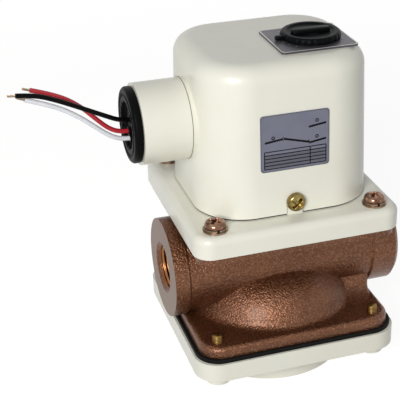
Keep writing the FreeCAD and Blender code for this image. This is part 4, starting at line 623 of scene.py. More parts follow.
def softened(corners: Sequence[Tuple[float, float]], rounding: float, steps: int = 4) -> Array:
    """Round a profile's corners.

    Each corner C becomes a short quadratic arc between the points A and B that lie `rounding` before and
    after it: (1 - t)^2 A + 2 t (1 - t) C + t^2 B. An arc takes up less than half of a short side.

    Args:
        corners: The profile's corner points.
        rounding: How far the arc starts from the corner.
        steps: Points per arc, less one.

    Returns:
        The rounded profile as an (n, 2) array.
    """
    longest_share = 0.45
    spots = np.array(corners, float)
    middle = spots[1:-1]
    back, onward = spots[:-2] - middle, spots[2:] - middle
    long_back = np.linalg.norm(back, axis=1, keepdims=True)
    long_on = np.linalg.norm(onward, axis=1, keepdims=True)
    start = middle + back / long_back * np.minimum(rounding, long_back * longest_share)
    end = middle + onward / long_on * np.minimum(rounding, long_on * longest_share)
    t = np.linspace(0, 1, steps + 1)[None, :, None]
    arcs = (1 - t) ** 2 * start[:, None] + 2 * t * (1 - t) * middle[:, None] + t**2 * end[:, None]
    return np.concatenate([spots[:1], arcs.reshape(-1, 2), spots[-1:]])


def placed(grid: Array, origin: Sequence[float], turn: Optional[Array] = None) -> Array:
    """Turn a grid by a 3 x 3 matrix and move it to origin, in millimetres."""
    return (grid @ turn.T if turn is not None else grid) + np.array(origin)


def tube(path: Array, radius: float, sides: int = 8) -> Array:
    """Carry a circle along a path: p(s) + r (cos a N + sin a B), N across the path and nearest to +Z.

    Where the path itself runs within about 26 degrees of +Z, N is nearest to +X instead.

    Args:
        path: (n, 3) points.
        radius: The circle's radius.
        sides: Points round the circle.

    Returns:
        A grid of shape (n, sides, 3), open at both ends.
    """
    steep = 0.9
    along = np.gradient(path, axis=0)
    along /= np.linalg.norm(along, axis=1, keepdims=True)
    reference = np.where(np.abs(along[:, 2:]) > steep, [[1.0, 0.0, 0.0]], [[0.0, 0.0, 1.0]])
    across = reference - along * np.sum(reference * along, axis=1, keepdims=True)
    across /= np.linalg.norm(across, axis=1, keepdims=True)
    other = np.cross(along, across)
    angle = round_angles(sides)[None, :, None]
    ring = np.cos(angle) * across[:, None] + np.sin(angle) * other[:, None]
    return path[:, None] + radius * ring


def capped(grid: Array) -> Array:
    """Close both ends of a tube by adding each end's centre as a row of equal points.

    Args:
        grid: The tube's points, of shape (rows, columns, 3).

    Returns:
        A grid with two more rows.
    """
    first = np.broadcast_to(grid[0].mean(axis=0), grid[:1].shape)
    last = np.broadcast_to(grid[-1].mean(axis=0), grid[:1].shape)
    return np.concatenate([first, grid, last])


# Sub-assemblies -------------------------------------------------------------------------------------


@dataclass(frozen=True)
class CastingsAndFrame:
    """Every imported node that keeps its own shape, dressed in its real finish."""

    groups: Tuple[Tuple[Finish, Tuple[str, ...]], ...] = FINISH_NODES

    def dress(self) -> None:
        """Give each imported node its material."""
        finishes = {name: finish for finish, names in self.groups for name in names}
        for name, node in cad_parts.items():
            finish = finishes[name]
            node.data.materials.clear()
            node.data.materials.append(finish.material())
            LOG.info("dressed %s in %s: %s", name, finish.name, finish.pattern.value)


@dataclass(frozen=True)
class Lead:
    """One flying lead: its route, as in the part's source, its colour and its bare strands."""

    colour: str
    finish: Finish
    route: Sequence[Point]
    length_mm: float
    diameter_mm: float = 1.9
    strand_mm: float = 3.0
    strand_start_mm: float = -0.6
    wire_radius: float = 0.17
    twist_radius: float = 0.34
    twist_per_mm: float = 0.9

    def build(self) -> None:
        curve = bpy.data.curves.new(f"Lead_{self.colour}", "CURVE")
        curve.dimensions = "3D"
        curve.bevel_depth = self.diameter_mm * MM / 2
        curve.bevel_resolution = 6
        curve.resolution_u = 16
        curve.use_fill_caps = True
        spline = curve.splines.new("NURBS")
        spline.points.add(len(self.route) - 1)
        flat = np.column_stack([np.array(self.route) * MM, np.ones(len(self.route))])
        spline.points.foreach_set("co", flat.ravel())
        spline.order_u = 3
        spline.use_endpoint_u = True
        curve.materials.append(self.finish.material())
        lead = bpy.data.objects.new(curve.name, curve)
        bpy.context.scene.collection.objects.link(lead)
        strands = self.strands()
        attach(lead, "casing")
        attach(strands, "casing")
        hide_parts(f"lead_{self.colour}")
        LOG.info("made lead %s", self.colour)

    def strands(self) -> bpy.types.Object:
        """Lay one straight strand and six round it, each a helix along the lead's last direction.

        A wire's path is end + s D + R (cos(a + k s) S + sin(a + k s) T), with D the lead's direction at its
        end, S and T across it, and R zero for the middle wire.

        Returns:
            The strands as one piece.
        """
        end = np.array(self.route[-1])
        direction = end - np.array(self.route[-2])
        direction /= np.linalg.norm(direction)
        side = np.cross(direction, [0.0, 1.0, 0.0])
        side /= np.linalg.norm(side)
        other = np.cross(direction, side)
        s = np.linspace(self.strand_start_mm, self.strand_mm, 14)[:, None]
        middle = end + direction * s
        wires = [capped(tube(middle, self.wire_radius, 6))]
        for start in round_angles(6):
            turn = start + s * self.twist_per_mm
            path = middle + self.twist_radius * (np.cos(turn) * side + np.sin(turn) * other)
            wires.append(capped(tube(path, self.wire_radius, 6)))
        return surface(f"Lead_{self.colour}_strands", wires, ring_columns=True, finish=COPPER)


BLACK_ROUTE = (
    (-56.9, -1.5, 115.0),
    (-60.9, -1.5, 115.0),
    (-67.5, -1.5, 118.2),
    (-77.0, -1.6, 123.0),
    (-86.0, -1.8, 127.4),
    (-93.5, -2.0, 130.3),
    (-100.5, -2.2, 131.0),
)
RED_ROUTE = (
    (-56.9, 1.6, 109.0),
    (-60.9, 1.6, 109.0),
    (-65.4, 1.8, 111.1),
    (-69.8, 2.0, 115.4),
    (-76.0, 2.0, 122.1),
    (-84.5, 1.8, 127.8),
    (-94.5, 1.4, 131.2),
)
WHITE_ROUTE = (
    (-56.9, -0.4, 106.7),
    (-60.9, -0.4, 106.7),
    (-65.6, -0.4, 108.9),
    (-70.5, -0.4, 113.0),
    (-77.0, -0.4, 118.6),
    (-86.0, -0.5, 124.4),
    (-97.0, -0.6, 128.4),
)
LEADS: Tuple[Lead, ...] = (
    Lead("black", PVC_BLACK, BLACK_ROUTE, length_mm=47.0),
    Lead("red", PVC_RED, RED_ROUTE, length_mm=44.9),
    Lead("white", PVC_WHITE, WHITE_ROUTE, length_mm=46.4),
)


@dataclass(frozen=True)
class CircuitLabel:
    """The printed changeover-contact diagram on the foil label: lines, contacts and an empty table.

    Places on the label are given as (right, up) from its middle. The ink lies over the tint.
    """

    half_width: float = 14.1
    half_height: float = 11.65
    foil: float = 0.4
    line: float = 0.4
    ink_lift: float = 0.03
    tint_lift: float = 0.015
    table_left: float = -12.6
    table_split: float = 6.2
    table_right: float = 12.8
    table_top: float = -3.2
    row_pitch: float = 1.44
    row_lines: int = 6
    border_width: float = 0.35
    border_power: int = 20

    def build(self) -> None:
        """Print the diagram, the table's shaded rows and the border."""
        rows = self.table_top - self.row_pitch * np.arange(self.row_lines)
        ink = surface("Label_diagram", self.diagram() + self.table(rows), finish=INK)
        tint_rows = surface("Label_table_rows", self.shading(rows), finish=SHADE)
        for piece in (ink, tint_rows, self.border()):
            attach(piece, "casing")
        LOG.info("printed the label")

    def laid(self, x: Array, y: Array, lift: float) -> Array:
        """Lay flat shapes on the leaning label: centre + x right + y up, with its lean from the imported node.

        Args:
            x: Distances to the right of the label's middle.
            y: Distances up the label.
            lift: How far the print stands off the foil.

        Returns:
            The places, with one more axis than x and y.
        """
        low, high = box_mm("circuit_label")
        lean = math.atan2(high[1] - low[1] - self.foil, high[2] - low[2])
        up = np.array([0.0, math.sin(lean), math.cos(lean)])
        out = np.array([0.0, -math.cos(lean), math.sin(lean)])
        centre = (low + high) / 2 + out * (self.foil / 2 + lift)
        return centre + x[..., None] * RIGHT + y[..., None] * up

    def strip(self, ends: Sequence[Tuple[float, float]], width: float, lift: float) -> Array:
        """Make a flat strip of one width between two points of the label.

        Args:
            ends: The two points.
            width: The strip's width.
            lift: How far the print stands off the foil.

        Returns:
            A grid of two rows and two columns.
        """
        spots = np.array(ends, float)
        along = spots[1] - spots[0]
        along /= np.linalg.norm(along)
        side = np.array([-along[1], along[0]]) * width / 2
        flat = np.stack([np.stack([spot - side, spot + side]) for spot in spots])
        return self.laid(flat[..., 0], flat[..., 1], lift)

    def ring(self, middle: Tuple[float, float], radius: float) -> Array:
        """Make a contact's ring, one line wide: radius r and r + line over a full turn.

        Args:
            middle: The contact's place.
            radius: The ring's inner radius.

        Returns:
            A grid of 25 rows and two columns.
        """
        angle = round_angles(25, both_ends=True)[:, None]
        reach = np.array([[radius, radius + self.line]])
        x = middle[0] + reach * np.cos(angle)
        y = middle[1] + reach * np.sin(angle)
        return self.laid(x, y, self.ink_lift)

    def diagram(self) -> List[Array]:
        """Draw the changeover contact: its lines, and a ring at each contact.

        Returns:
            One grid per line and ring.
        """
        thick, thin = self.line * 2.1, self.line * 1.4
        common = ((-12.4, 0.6), (-5.2, 1.4))
        blade = ((-4.6, 1.5), (5.6, -1.2))
        closed = ((5.8, -1.6), (12.8, -0.6))
        opened = ((5.6, 5.0), (12.8, 5.9))
        stop = ((5.6, -1.6), (5.6, -0.4))
        lines = [self.strip(ends, thick, self.ink_lift) for ends in (common, blade, closed, opened)]
        lines.append(self.strip(stop, thin, self.ink_lift))
        rings = [self.ring((-4.9, 1.45), 0.25)]
        rings += [self.ring(middle, 0.35) for middle in ((9.0, 7.3), (9.0, 0.7), (-9.0, 2.3))]
        return lines + rings

    def table(self, rows: Array) -> List[Array]:
        """Rule the empty table: lines across, and three upright ones.

        Args:
            rows: The heights of the lines across.

        Returns:
            One grid per line.
        """
        left, right = self.table_left, self.table_right
        across = [((left, z), (right, z)) for z in rows]
        upright = [((x, rows[0]), (x, rows[-1])) for x in (left, self.table_split, right)]
        return [self.strip(ends, self.line, self.ink_lift) for ends in across + upright]

    def shading(self, rows: Array) -> List[Array]:
        """Tint every row of the table but the first with a strip as tall as the row.

        Args:
            rows: The heights of the lines across.

        Returns:
            One grid per row.
        """
        middles = rows[1:-1] - self.row_pitch / 2
        spans = [((self.table_left, z), (self.table_right, z)) for z in middles]
        return [self.strip(ends, self.row_pitch, self.tint_lift) for ends in spans]

    def border(self) -> bpy.types.Object:
        """Print a dark line along the label's edge: a rounded rectangle, |x/a|^n + |y/b|^n = 1.

        Returns:
            The border as one piece.
        """
        power = self.border_power
        angle = round_angles(97, both_ends=True)[:, None]
        c, s = np.cos(angle), np.sin(angle)
        shape = (np.abs(c) ** power + np.abs(s) ** power) ** (-1 / power)
        inset = np.array([[self.border_width, 0.0]])
        x = (self.half_width - inset) * c * shape
        y = (self.half_height - inset) * s * shape
        return surface("Label_border", [self.laid(x, y, self.tint_lift)], finish=SHADE)


@dataclass(frozen=True)
class SettingKnob:
    """The black setting knob: fluted skirt, dished face with a raised rim, grip bar and pointer."""

    x: float = KNOB_AXIS[0]
    y: float = KNOB_AXIS[1]
    low: float = 141.9
    radius: float = 12.25
    height: float = 2.4
    edge: float = 0.3
    rim_outer: float = 1.0
    rim_inner: float = 2.6
    dish_wall: float = 3.2
    dish_depth: float = 0.9
    hub_radius: float = 3.2
    hub_drop: float = 0.6
    rounding: float = 0.35
    flutes: int = 24
    flute_depth: float = 0.45
    flute_band: float = 1.2
    grip_half: Tuple[float, float] = (8.0, 2.1)
    pointer_half: Tuple[float, float] = (2.2, 1.3)

    def build(self) -> None:
        """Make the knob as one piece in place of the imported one."""
        grids = [self.skirt(), self.grip(), self.pointer()]
        knob = surface("Setting_knob_moulding", grids, ring_columns=True, finish=KNOB_PLASTIC)
        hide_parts("setting_knob")
        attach(knob, "adjuster")
        LOG.info("made the knob")

    def skirt(self) -> Array:
        """Turn the rim and the dish, with the outer radius scalloped by |sin(n a / 2)| for n flutes.

        Returns:
            A grid that is closed along its columns.
        """
        r, z, top = self.radius, self.low, self.low + self.height
        corners = [
            (0.0, z),
            (r - self.edge, z),
            (r, z + self.edge),
            (r - self.edge, top - 0.5),
            (r - self.rim_outer, top),
            (r - self.rim_inner, top),
            (r - self.dish_wall, top - 0.7),
            (self.hub_radius + 0.2, top - self.dish_depth),
            (self.hub_radius, top - self.hub_drop),
            (0.0, top - self.hub_drop),
        ]

        def flute(radius: Array, height: Array, angle: Array) -> Array:
            """Cut shallow scallops into the skirt's outer band."""
            outer = np.clip((radius - (r - self.flute_band)) / self.flute_band, 0, 1)
            scallop = 1 - np.abs(np.sin(self.flutes / 2 * angle)) ** 0.6
            return radius - self.flute_depth * outer * scallop

        form = revolve(softened(corners, self.rounding), 12 * self.flutes, flute)
        return placed(form, (self.x, self.y, 0.0))

    def loaf(self, half: Tuple[float, float], low: float, high: float, centre_x: float) -> Array:
        """Make a rounded block: a superellipse plan, |x/a|^5 + |y/b|^5 = 1, drawn in towards its top.

        Args:
            half: Half its length and half its width.
            low: Its underside's height.
            high: Its top's height.
            centre_x: Its middle along X.

        Returns:
            A grid that is closed along its columns and shut at its top.
        """
        shoulder, crown, crown_inset, top_inset, power = 0.45, 0.15, 0.12, 0.4, 5
        angle = round_angles(64)[None, :]
        c, s = np.cos(angle), np.sin(angle)
        plan = (np.abs(c) ** power + np.abs(s) ** power) ** (-1 / power)
        level = np.array([low, high - shoulder, high - crown, high, high])[:, None]
        inset = np.array([0.0, 0.0, crown_inset, top_inset, 0.0])[:, None]
        keep = np.array([1.0, 1.0, 1.0, 1.0, 0.0])[:, None]
        x = (half[0] - inset) * c * plan * keep
        y = (half[1] - inset) * s * plan * keep
        return placed(np.stack([x, y, level + 0 * angle], axis=-1), (centre_x, self.y, 0.0))

    def grip(self) -> Array:
        """Return the finger bar, which rises out of the dish and stands over the rim."""
        top = self.low + self.height
        return self.loaf(self.grip_half, top - 1.2, top + 0.9, self.x)

    def pointer(self) -> Array:
        """Return the pointer, which stands out of the skirt towards the inlet."""
        return self.loaf(self.pointer_half, self.low + 0.05, self.low + 1.5, self.x - self.radius - 0.4)


@dataclass(frozen=True)
class PortThread:
    """The pipe thread in a port: a ridged sleeve on the bore's wall, which starts past the mouth."""

    name: str
    mouth_x: float
    inward: float
    bore: float = 9.315
    depth: float = 0.42
    pitch: float = 1.814
    start: float = 1.4
    end: float = 14.2
    run_out: float = 1.2
    root_gap: float = 0.02
    wall_gap: float = 0.005

    def build(self) -> None:
        """Make the sleeve: its radius is bore - depth * ridge, with ridge a raised cosine along the helix.

        The ridge is 1/2 - 1/2 cos(2 pi (x / pitch + a / 2 pi)), and runs out at both ends.
        """
        along = np.linspace(self.start, self.end, 160)[:, None]
        angle = round_angles(72)[None, :]
        phase = along / self.pitch + angle / FULL_TURN
        ridge = 0.5 - 0.5 * np.cos(FULL_TURN * phase)
        fade = np.clip(np.minimum(along - self.start, self.end - along) / self.run_out, 0, 1)
        inner = self.turned(along, angle, self.bore - self.root_gap - self.depth * ridge * fade)
        outer = self.turned(along, angle, self.bore - self.wall_gap + 0 * along)
        loop = np.concatenate([inner, outer[::-1], inner[:1]])
        sleeve = surface(self.name, [loop], ring_columns=True, finish=THREAD)
        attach(sleeve, "casing")
        LOG.info("cut %s", self.name)

    def turned(self, along: Array, angle: Array, radius: Array) -> Array:
        """Turn a wall about the port's axis: x = mouth + along, y = r cos a, z = axis + r sin a.

        Args:
            along: Distances inward from the port's mouth.
            angle: Angles about the port's axis.
            radius: The wall's radius at each of them.

        Returns:
            A grid that is closed along its columns.
        """
        x = self.mouth_x + self.inward * along + 0 * angle
        return np.stack([x, radius * np.cos(angle), PORT_AXIS_Z + radius * np.sin(angle)], axis=-1)


@dataclass(frozen=True)
class LeadGrommet:
    """The moulded rubber grommet: two lips with a groove between, a pleated recess and a collar per lead.

    floor, face, back and tail are distances from the part's middle towards -X, and the rest are radii.
    """

    floor: float = 56.9
    face: float = 58.9
    back: float = 55.32
    tail: float = 47.2
    recess: float = 9.5
    flange: float = 15.3
    mouth: float = 13.8
    groove_depth: float = 0.7
    pleats: int = 20
    pleat_depth: float = 0.16
    collar_radius: float = 1.45
    collar_bead: float = 0.45
    collar_length: float = 0.55
    collar_lift: float = 0.35

    def build(self) -> None:
        """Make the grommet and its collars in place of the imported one."""
        collars = [self.collar(lead.route[0]) for lead in LEADS]
        grommet = surface("Rubber_grommet_moulding", [self.body()], ring_columns=True, finish=RUBBER)
        beads = surface("Rubber_grommet_collars", collars, True, True, finish=RUBBER)
        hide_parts("lead_grommet")
        for piece in (grommet, beads):
            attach(piece, "casing")
        LOG.info("made the grommet")

    def body(self) -> Array:
        """Turn the lips' profile about the socket's axis, with shallow pleats round the recess's wall.

        Returns:
            A grid that is closed along its columns, with its axis along -X.
        """
        floor, face, back, recess, flange = self.floor, self.face, self.back, self.recess, self.flange
        groove = face - self.groove_depth
        corners = [
            (0.0, floor),
            (recess - 0.5, floor),
            (recess, floor + 0.5),
            (recess + 0.2, face - 0.3),
            (recess + 0.8, face),
            (recess + 2.0, face),
            (recess + 2.4, groove),
            (recess + 3.1, groove),
            (recess + 3.5, face),
            (flange - 0.9, face),
            (flange, face - 0.9),
            (flange, back + 0.6),
            (flange - 0.5, back),
            (self.mouth, back),
            (self.mouth, self.tail),
            (0.0, self.tail),
        ]

        def pleat(radius: Array, height: Array, angle: Array) -> Array:
            """Draw the recess's wall in and out, between its floor and the inner lip."""
            near = np.clip(1 - np.abs(radius - recess - 0.2) / 0.9, 0, 1) * (height > floor + 0.1)
            return radius - self.pleat_depth * near * (1 + np.cos(self.pleats * angle))

        to_inlet = np.array([[0.0, 0.0, -1.0], [1.0, 0.0, 0.0], [0.0, -1.0, 0.0]])
        return placed(revolve(softened(corners, 0.4), 160, pleat), (0.0, *SOCKET_AXIS), to_inlet)

    def collar(self, start: Point) -> Array:
        """Carry a rounded bead round a lead where it leaves the recess's floor.

        Its section is an ellipse, collar_bead across and collar_length along the lead.

        Args:
            start: Where the lead leaves the floor.

        Returns:
            A grid that is closed both ways.
        """
        angle = round_angles(28)[:, None]
        around = round_angles(12)[None, :]
        reach = self.collar_radius + self.collar_bead * np.cos(around)
        x = start[0] - self.collar_lift - self.collar_length * np.sin(around) + 0 * angle
        return np.stack([x, start[1] + reach * np.cos(angle), start[2] + reach * np.sin(angle)], axis=-1)


@dataclass(frozen=True)
class ScrewEnds:
    """Rolled threads on the ends of four screws that stand out of a flange.

    low and high are the sleeves' heights, and inset is how far the screws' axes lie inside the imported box.
    """

    name: str
    node: str
    finish: Finish
    radius: float
    pitch: float
    low: float
    high: float
    inset: float
    clearance: float = 0.01
    depth: float = 0.13
    run_out: float = 0.5

    def build(self) -> None:
        """Make one threaded sleeve per screw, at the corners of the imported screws' box."""
        low, high = box_mm(self.node)
        low, high = low + self.inset, high - self.inset
        grids = [self.sleeve(x, y) for x in (low[0], high[0]) for y in (low[1], high[1])]
        threads = surface(self.name, grids, ring_columns=True, finish=self.finish)
        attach(threads, "casing")
        LOG.info("rolled the threads of %s", self.node)

    def sleeve(self, x: float, y: float) -> Array:
        """Make a threaded rod: its radius is R + d (1/2 - 1/2 cos(2 pi (z / pitch - a / 2 pi))).

        Args:
            x: The screw's axis along X.
            y: The screw's axis along Y.

        Returns:
            A grid that is closed along its columns and capped, with the thread running out at its top.
        """
        z = np.linspace(self.low, self.high, 40)[:, None]
        angle = round_angles(32)[None, :]
        ridge = 0.5 - 0.5 * np.cos(FULL_TURN * (z / self.pitch - angle / FULL_TURN))
        fade = np.clip((self.high - z) / self.run_out, 0, 1)
        reach = self.radius + self.clearance + self.depth * ridge * fade
        grid = np.stack([x + reach * np.cos(angle), y + reach * np.sin(angle), z + 0 * angle], axis=-1)
        return capped(grid)


@dataclass(frozen=True)
class HeadedScrews:
    """Pan head screws with a cross recess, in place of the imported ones.

    spots holds, for each screw, the point at its head's top and its turn from upright.
    """

    name: str
    node: str
    finish: Finish
    radius: float
    head_radius: float
    head_height: float
    length: float
    spots: Sequence[Tuple[Sequence[float], Optional[Array]]]
    crown_share: float = 0.72
    crown_drop: float = 0.12
    edge_drop: float = 0.62
    deepest_recess: float = 1.9
    recess_share: float = 0.68

    @classmethod
    def of_base(cls) -> "HeadedScrews":
        """Measure the four screws that hold the switch base on the casting.

        Returns:
            The screws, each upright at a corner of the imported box.
        """
        low, high = box_mm("base_screws")
        head_radius, head_height = 4.3, 2.5
        xs = (low[0] + head_radius, high[0] - head_radius)
        ys = (low[1] + head_radius, high[1] - head_radius)
        return cls(
            "Base_pan_screws",
            "base_screws",
            COPPERY,
            radius=2.5,
            head_radius=head_radius,
            head_height=head_height,
            length=high[2] - low[2] - head_height,
            spots=[((x, y, high[2]), None) for x in xs for y in ys],
        )

    @classmethod
    def of_cover(cls) -> "HeadedScrews":
        """Measure the two screws that hold the cover, one in front and one behind.

        Returns:
            The screws, each with its head outwards.
        """
        low, high = box_mm("cover_screws")
        x, z = (low[0] + high[0]) / 2, (low[2] + high[2]) / 2
        to_front = np.array([[1.0, 0.0, 0.0], [0.0, 0.0, -1.0], [0.0, 1.0, 0.0]])
        to_back = np.array([[-1.0, 0.0, 0.0], [0.0, 0.0, 1.0], [0.0, 1.0, 0.0]])
        return cls(
            "Cover_pan_screws",
            "cover_screws",
            YELLOW_ZINC,
            radius=2.0,
            head_radius=3.85,
            head_height=2.9,
            length=9.0,
            spots=[((x, low[1], z), to_front), ((x, high[1], z), to_back)],
        )

    def build(self) -> None:
        """Make one piece with a screw at each spot."""
        upright = self.screw()
        grids = [placed(upright, origin, turn) for origin, turn in self.spots]
        screws = surface(self.name, grids, ring_columns=True, finish=self.finish)
        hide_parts(self.node)
        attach(screws, "casing")
        LOG.info("made %s", self.name)

    def screw(self) -> Array:
        """Turn one upright screw, then press its recess in: z falls by the cross's depth, from 0 to 1.

        The head's top is the cap -k r^2 out to crown_share of its radius, and a quarter ellipse from there to
        its edge.

        Returns:
            A grid that is closed along its columns, with the head's top at the origin.
        """
        r, big, h = self.radius, self.head_radius, self.head_height
        flat = np.linspace(0.0, self.crown_share * big, 34)
        turn = np.linspace(0, math.pi / 2, 9)[1:]
        drop = self.crown_drop * h
        crown = np.stack([flat, -drop * (flat / flat[-1]) ** 2], axis=-1)
        edge_r = flat[-1] + (1 - self.crown_share) * big * np.sin(turn)
        edge = np.stack([edge_r, -drop - self.edge_drop * h * (1 - np.cos(turn))], axis=-1)
        foot, chamfer, point, tip = -h - self.length, 0.15, 0.7, 0.6 * r
        under = [(big, -h + chamfer), (big - chamfer, -h), (r, -h)]
        shank = [(r, foot + point), (tip, foot), (0.0, foot)]
        grid = revolve(np.concatenate([crown, edge, np.array(under + shank)]), 96)
        x, y, z = grid[..., 0], grid[..., 1], grid[..., 2]
        pressed = np.where(z > -0.8 * h, self.cross(x, y), 0.0)
        recess = min(self.deepest_recess, self.recess_share * h)
        return np.stack([x, y, z - recess * pressed], axis=-1)

    def cross(self, x: Array, y: Array) -> Array:
        """Shape the recess: two arms at right angles and a round middle, with sloping walls.

        Args:
            x: Places across the head.
            y: Places across the head, at right angles to x.

        Returns:
            1 inside the cross and 0 outside it, and the slope between.
        """
        across, along, middle = 0.17 * self.head_radius, 0.66 * self.head_radius, 0.25 * self.head_radius
        side_slope, end_slope, middle_slope, diagonal = 0.18, 0.5, 0.35, 0.7071

        def arm(u: Array, v: Array) -> Array:
            """Fall off past the arm's half width and towards its end."""
            beside = np.clip((across - np.abs(u)) / side_slope + 0.5, 0, 1)
            return beside * np.clip((along - np.abs(v)) / end_slope, 0, 1)

        hub = np.clip((middle - np.hypot(x, y)) / middle_slope + 0.5, 0, 1)
        u, v = (x + y) * diagonal, (x - y) * diagonal
        return np.maximum(np.maximum(arm(u, v), arm(v, u)), hub)


@dataclass(frozen=True)
class RangeSpring:
    """The range spring in two halves: its foot and its head."""

    coil_radius: float = 5.0
    wire_radius: float = 0.6
    turns: int = 6
    points_per_turn: int = 64
    closing: float = 2.4

    def build(self) -> None:
        """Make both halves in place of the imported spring.

        The wire's path is x = R cos t, y = R sin t, z = low + rise (t - c sin(t / n)) / (2 pi n), for n turns
        and a closing of c: the pitch closes up towards both ends.
        """
        low, high = box_mm("range_spring")
        middle, wire = (low + high) / 2, self.wire_radius
        whole = self.turns * FULL_TURN
        turn = np.linspace(0.0, whole, self.turns * self.points_per_turn + 1)
        climb = (turn - self.closing * np.sin(turn / self.turns)) / whole
        x = middle[0] + self.coil_radius * np.cos(turn)
        y = middle[1] + self.coil_radius * np.sin(turn)
        z = low[2] + wire + (high[2] - low[2] - 2 * wire) * climb
        path = np.stack([x, y, z], axis=-1)
        split = len(turn) // 2
        levels = (low[2], middle[2], high[2])
        points = [tuple(np.array([middle[0], middle[1], level]) * MM) for level in levels]
        halves = (
            ("Range_spring_foot", path[: split + 1], "paddle_lever", "casing", points[0], points[1]),
            ("Range_spring_head", path[split:], "casing", "spring_carrier", points[1], points[2]),
        )
        for name, line, first, second, start, end in halves:
            half = surface(name, [capped(tube(line, wire))], ring_columns=True, finish=STAINLESS)
            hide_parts("range_spring")
            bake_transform(half)
        LOG.info("wound the range spring")


@dataclass(frozen=True)
class OutletWeb:
    """The cast web that joins the tube to the flange at the outlet end, front and back."""

    start_x: float = 14.0
    end_x: float = 39.9
    end_radius: float = 6.2
    tube_y: float = 17.4
    tube_z: float = 35.2
    flange_z: float = 27.45
    start_y: float = 33.0
    end_y: float = 28.0
    core_y: float = 8.0
    core_z: float = 34.0

    def build(self) -> None:
        """Make the web's two sides as one piece.

        Each section is a hollow quarter ellipse from the tube's side, at (tube_y, tube_z), to the flange, at
        (b, flange_z). b falls from start_y to end_y along X, and closes on a quarter circle at the web's end.
        Two more points of each section lie inside the casting.
        """
        x = np.linspace(self.start_x, self.end_x, 60)[:, None]
        v = np.linspace(0, math.pi / 2, 18)[None, :]
        past = np.clip(x - (self.end_x - self.end_radius), 0, None)
        shut = np.sqrt(np.clip(1 - (past / self.end_radius) ** 2, 0, 1))
        fall = (self.start_y - self.end_y) * (x - self.start_x) / (self.end_x - self.start_x)
        reach = (self.start_y - fall - self.tube_y) * shut
        column = np.ones_like(x)
        y = self.tube_y + reach * (1 - np.cos(v))
        z = self.flange_z + (self.tube_z - self.flange_z) * (1 - np.sin(v)) + 0 * x
        y = np.concatenate([y, self.core_y * column, self.core_y * column], axis=1)
        z = np.concatenate([z, self.flange_z * column, self.core_z * column], axis=1)
        sides = [capped(np.stack([x + 0 * y, side * y, z], axis=-1)) for side in (-1, 1)]
        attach(surface("Outlet_web", sides, ring_columns=True, finish=BRONZE), "casing")
        LOG.info("cast the outlet web")


@dataclass(frozen=True)
class SocketSeamShade:
    """Painted shade in the joint between the socket and the cover's boss."""

    x: float = -36.2
    radius: float = 16.42
    bead: float = 0.13

    def build(self) -> None:
        """Carry a bead's circle round the socket: a ring of section bead, at the socket's radius."""
        angle = round_angles(120)[:, None]
        around = round_angles(8)[None, :]
        reach = self.radius + self.bead * np.cos(around)
        x = self.x + self.bead * np.sin(around) + 0 * angle
        y, z = SOCKET_AXIS[0] + reach * np.cos(angle), SOCKET_AXIS[1] + reach * np.sin(angle)
        seam = surface("Socket_seam_shade", [np.stack([x, y, z], axis=-1)], True, True, finish=SEAM_SHADE)
        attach(seam, "casing")
        LOG.info("painted the socket's seam")


@dataclass(frozen=True)
class DialMarks:
    """The painted highlight along the dial plate's edge, and the scale round the knob."""

    top: float = 141.6
    centre: Tuple[float, float] = (15.2, -6.0)
    half: Tuple[float, float] = (15.9, 14.4)
    corner_power: int = 24
    stroke_inner: float = 12.9
    stroke_outer: float = 13.7
    long_stroke_outer: float = 14.2
    stroke_half_width: float = 0.14
    stroke_lift: float = 0.03
    step_degrees: float = 15.0

    def build(self) -> None:
        """Make the painted rim highlight and the scale."""
        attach(self.rim(), "casing")
        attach(self.scale(), "casing")
        LOG.info("marked the dial")

    def rim(self) -> bpy.types.Object:
        """Make the painted highlight on the plate's edge: the plate's outline, |x/a|^n + |y/b|^n = 1, carried
        inwards in four steps.

        Returns:
            The rim as one piece.
        """
        power = self.corner_power
        angle = round_angles(241, both_ends=True)[:, None]
        c, s = np.cos(angle), np.sin(angle)
        shape = (np.abs(c) ** power + np.abs(s) ** power) ** (-1 / power)
        inset = np.array([[0.0, 0.05, 0.5, 0.55]])
        lift = np.array([[-0.1, 0.03, 0.06, 0.0]])
        x = self.centre[0] + (self.half[0] - inset) * c * shape
        y = self.centre[1] + (self.half[1] - inset) * s * shape
        grid = np.stack([x, y, self.top + lift + 0 * x], axis=-1)
        return surface("Dial_rim_painted_highlight", [grid], finish=DIAL_RIM_HIGHLIGHT)

    def scale(self) -> bpy.types.Object:
        """Rule the scale: flat strokes outwards from the knob, one each 15 degrees, every third one longer.

        Returns:
            The scale as one piece.
        """
        strokes = []
        middle = np.array([KNOB_AXIS[0], KNOB_AXIS[1], self.top + self.stroke_lift])
        for index, turn in enumerate(np.radians(np.arange(-45, 226, self.step_degrees))):
            reach = self.long_stroke_outer if index % 3 == 0 else self.stroke_outer
            along = np.array([math.cos(turn), math.sin(turn), 0.0])
            side = np.array([-along[1], along[0], 0.0]) * self.stroke_half_width
            inner, outer = middle + along * self.stroke_inner, middle + along * reach
            strokes.append(np.array([[inner - side, inner + side], [outer - side, outer + side]]))
        return surface("Dial_scale", strokes, finish=PALE_INK)


# Camera, light and floor ----------------------------------------------------------------------------

WHITE = tint("FFFFFF")


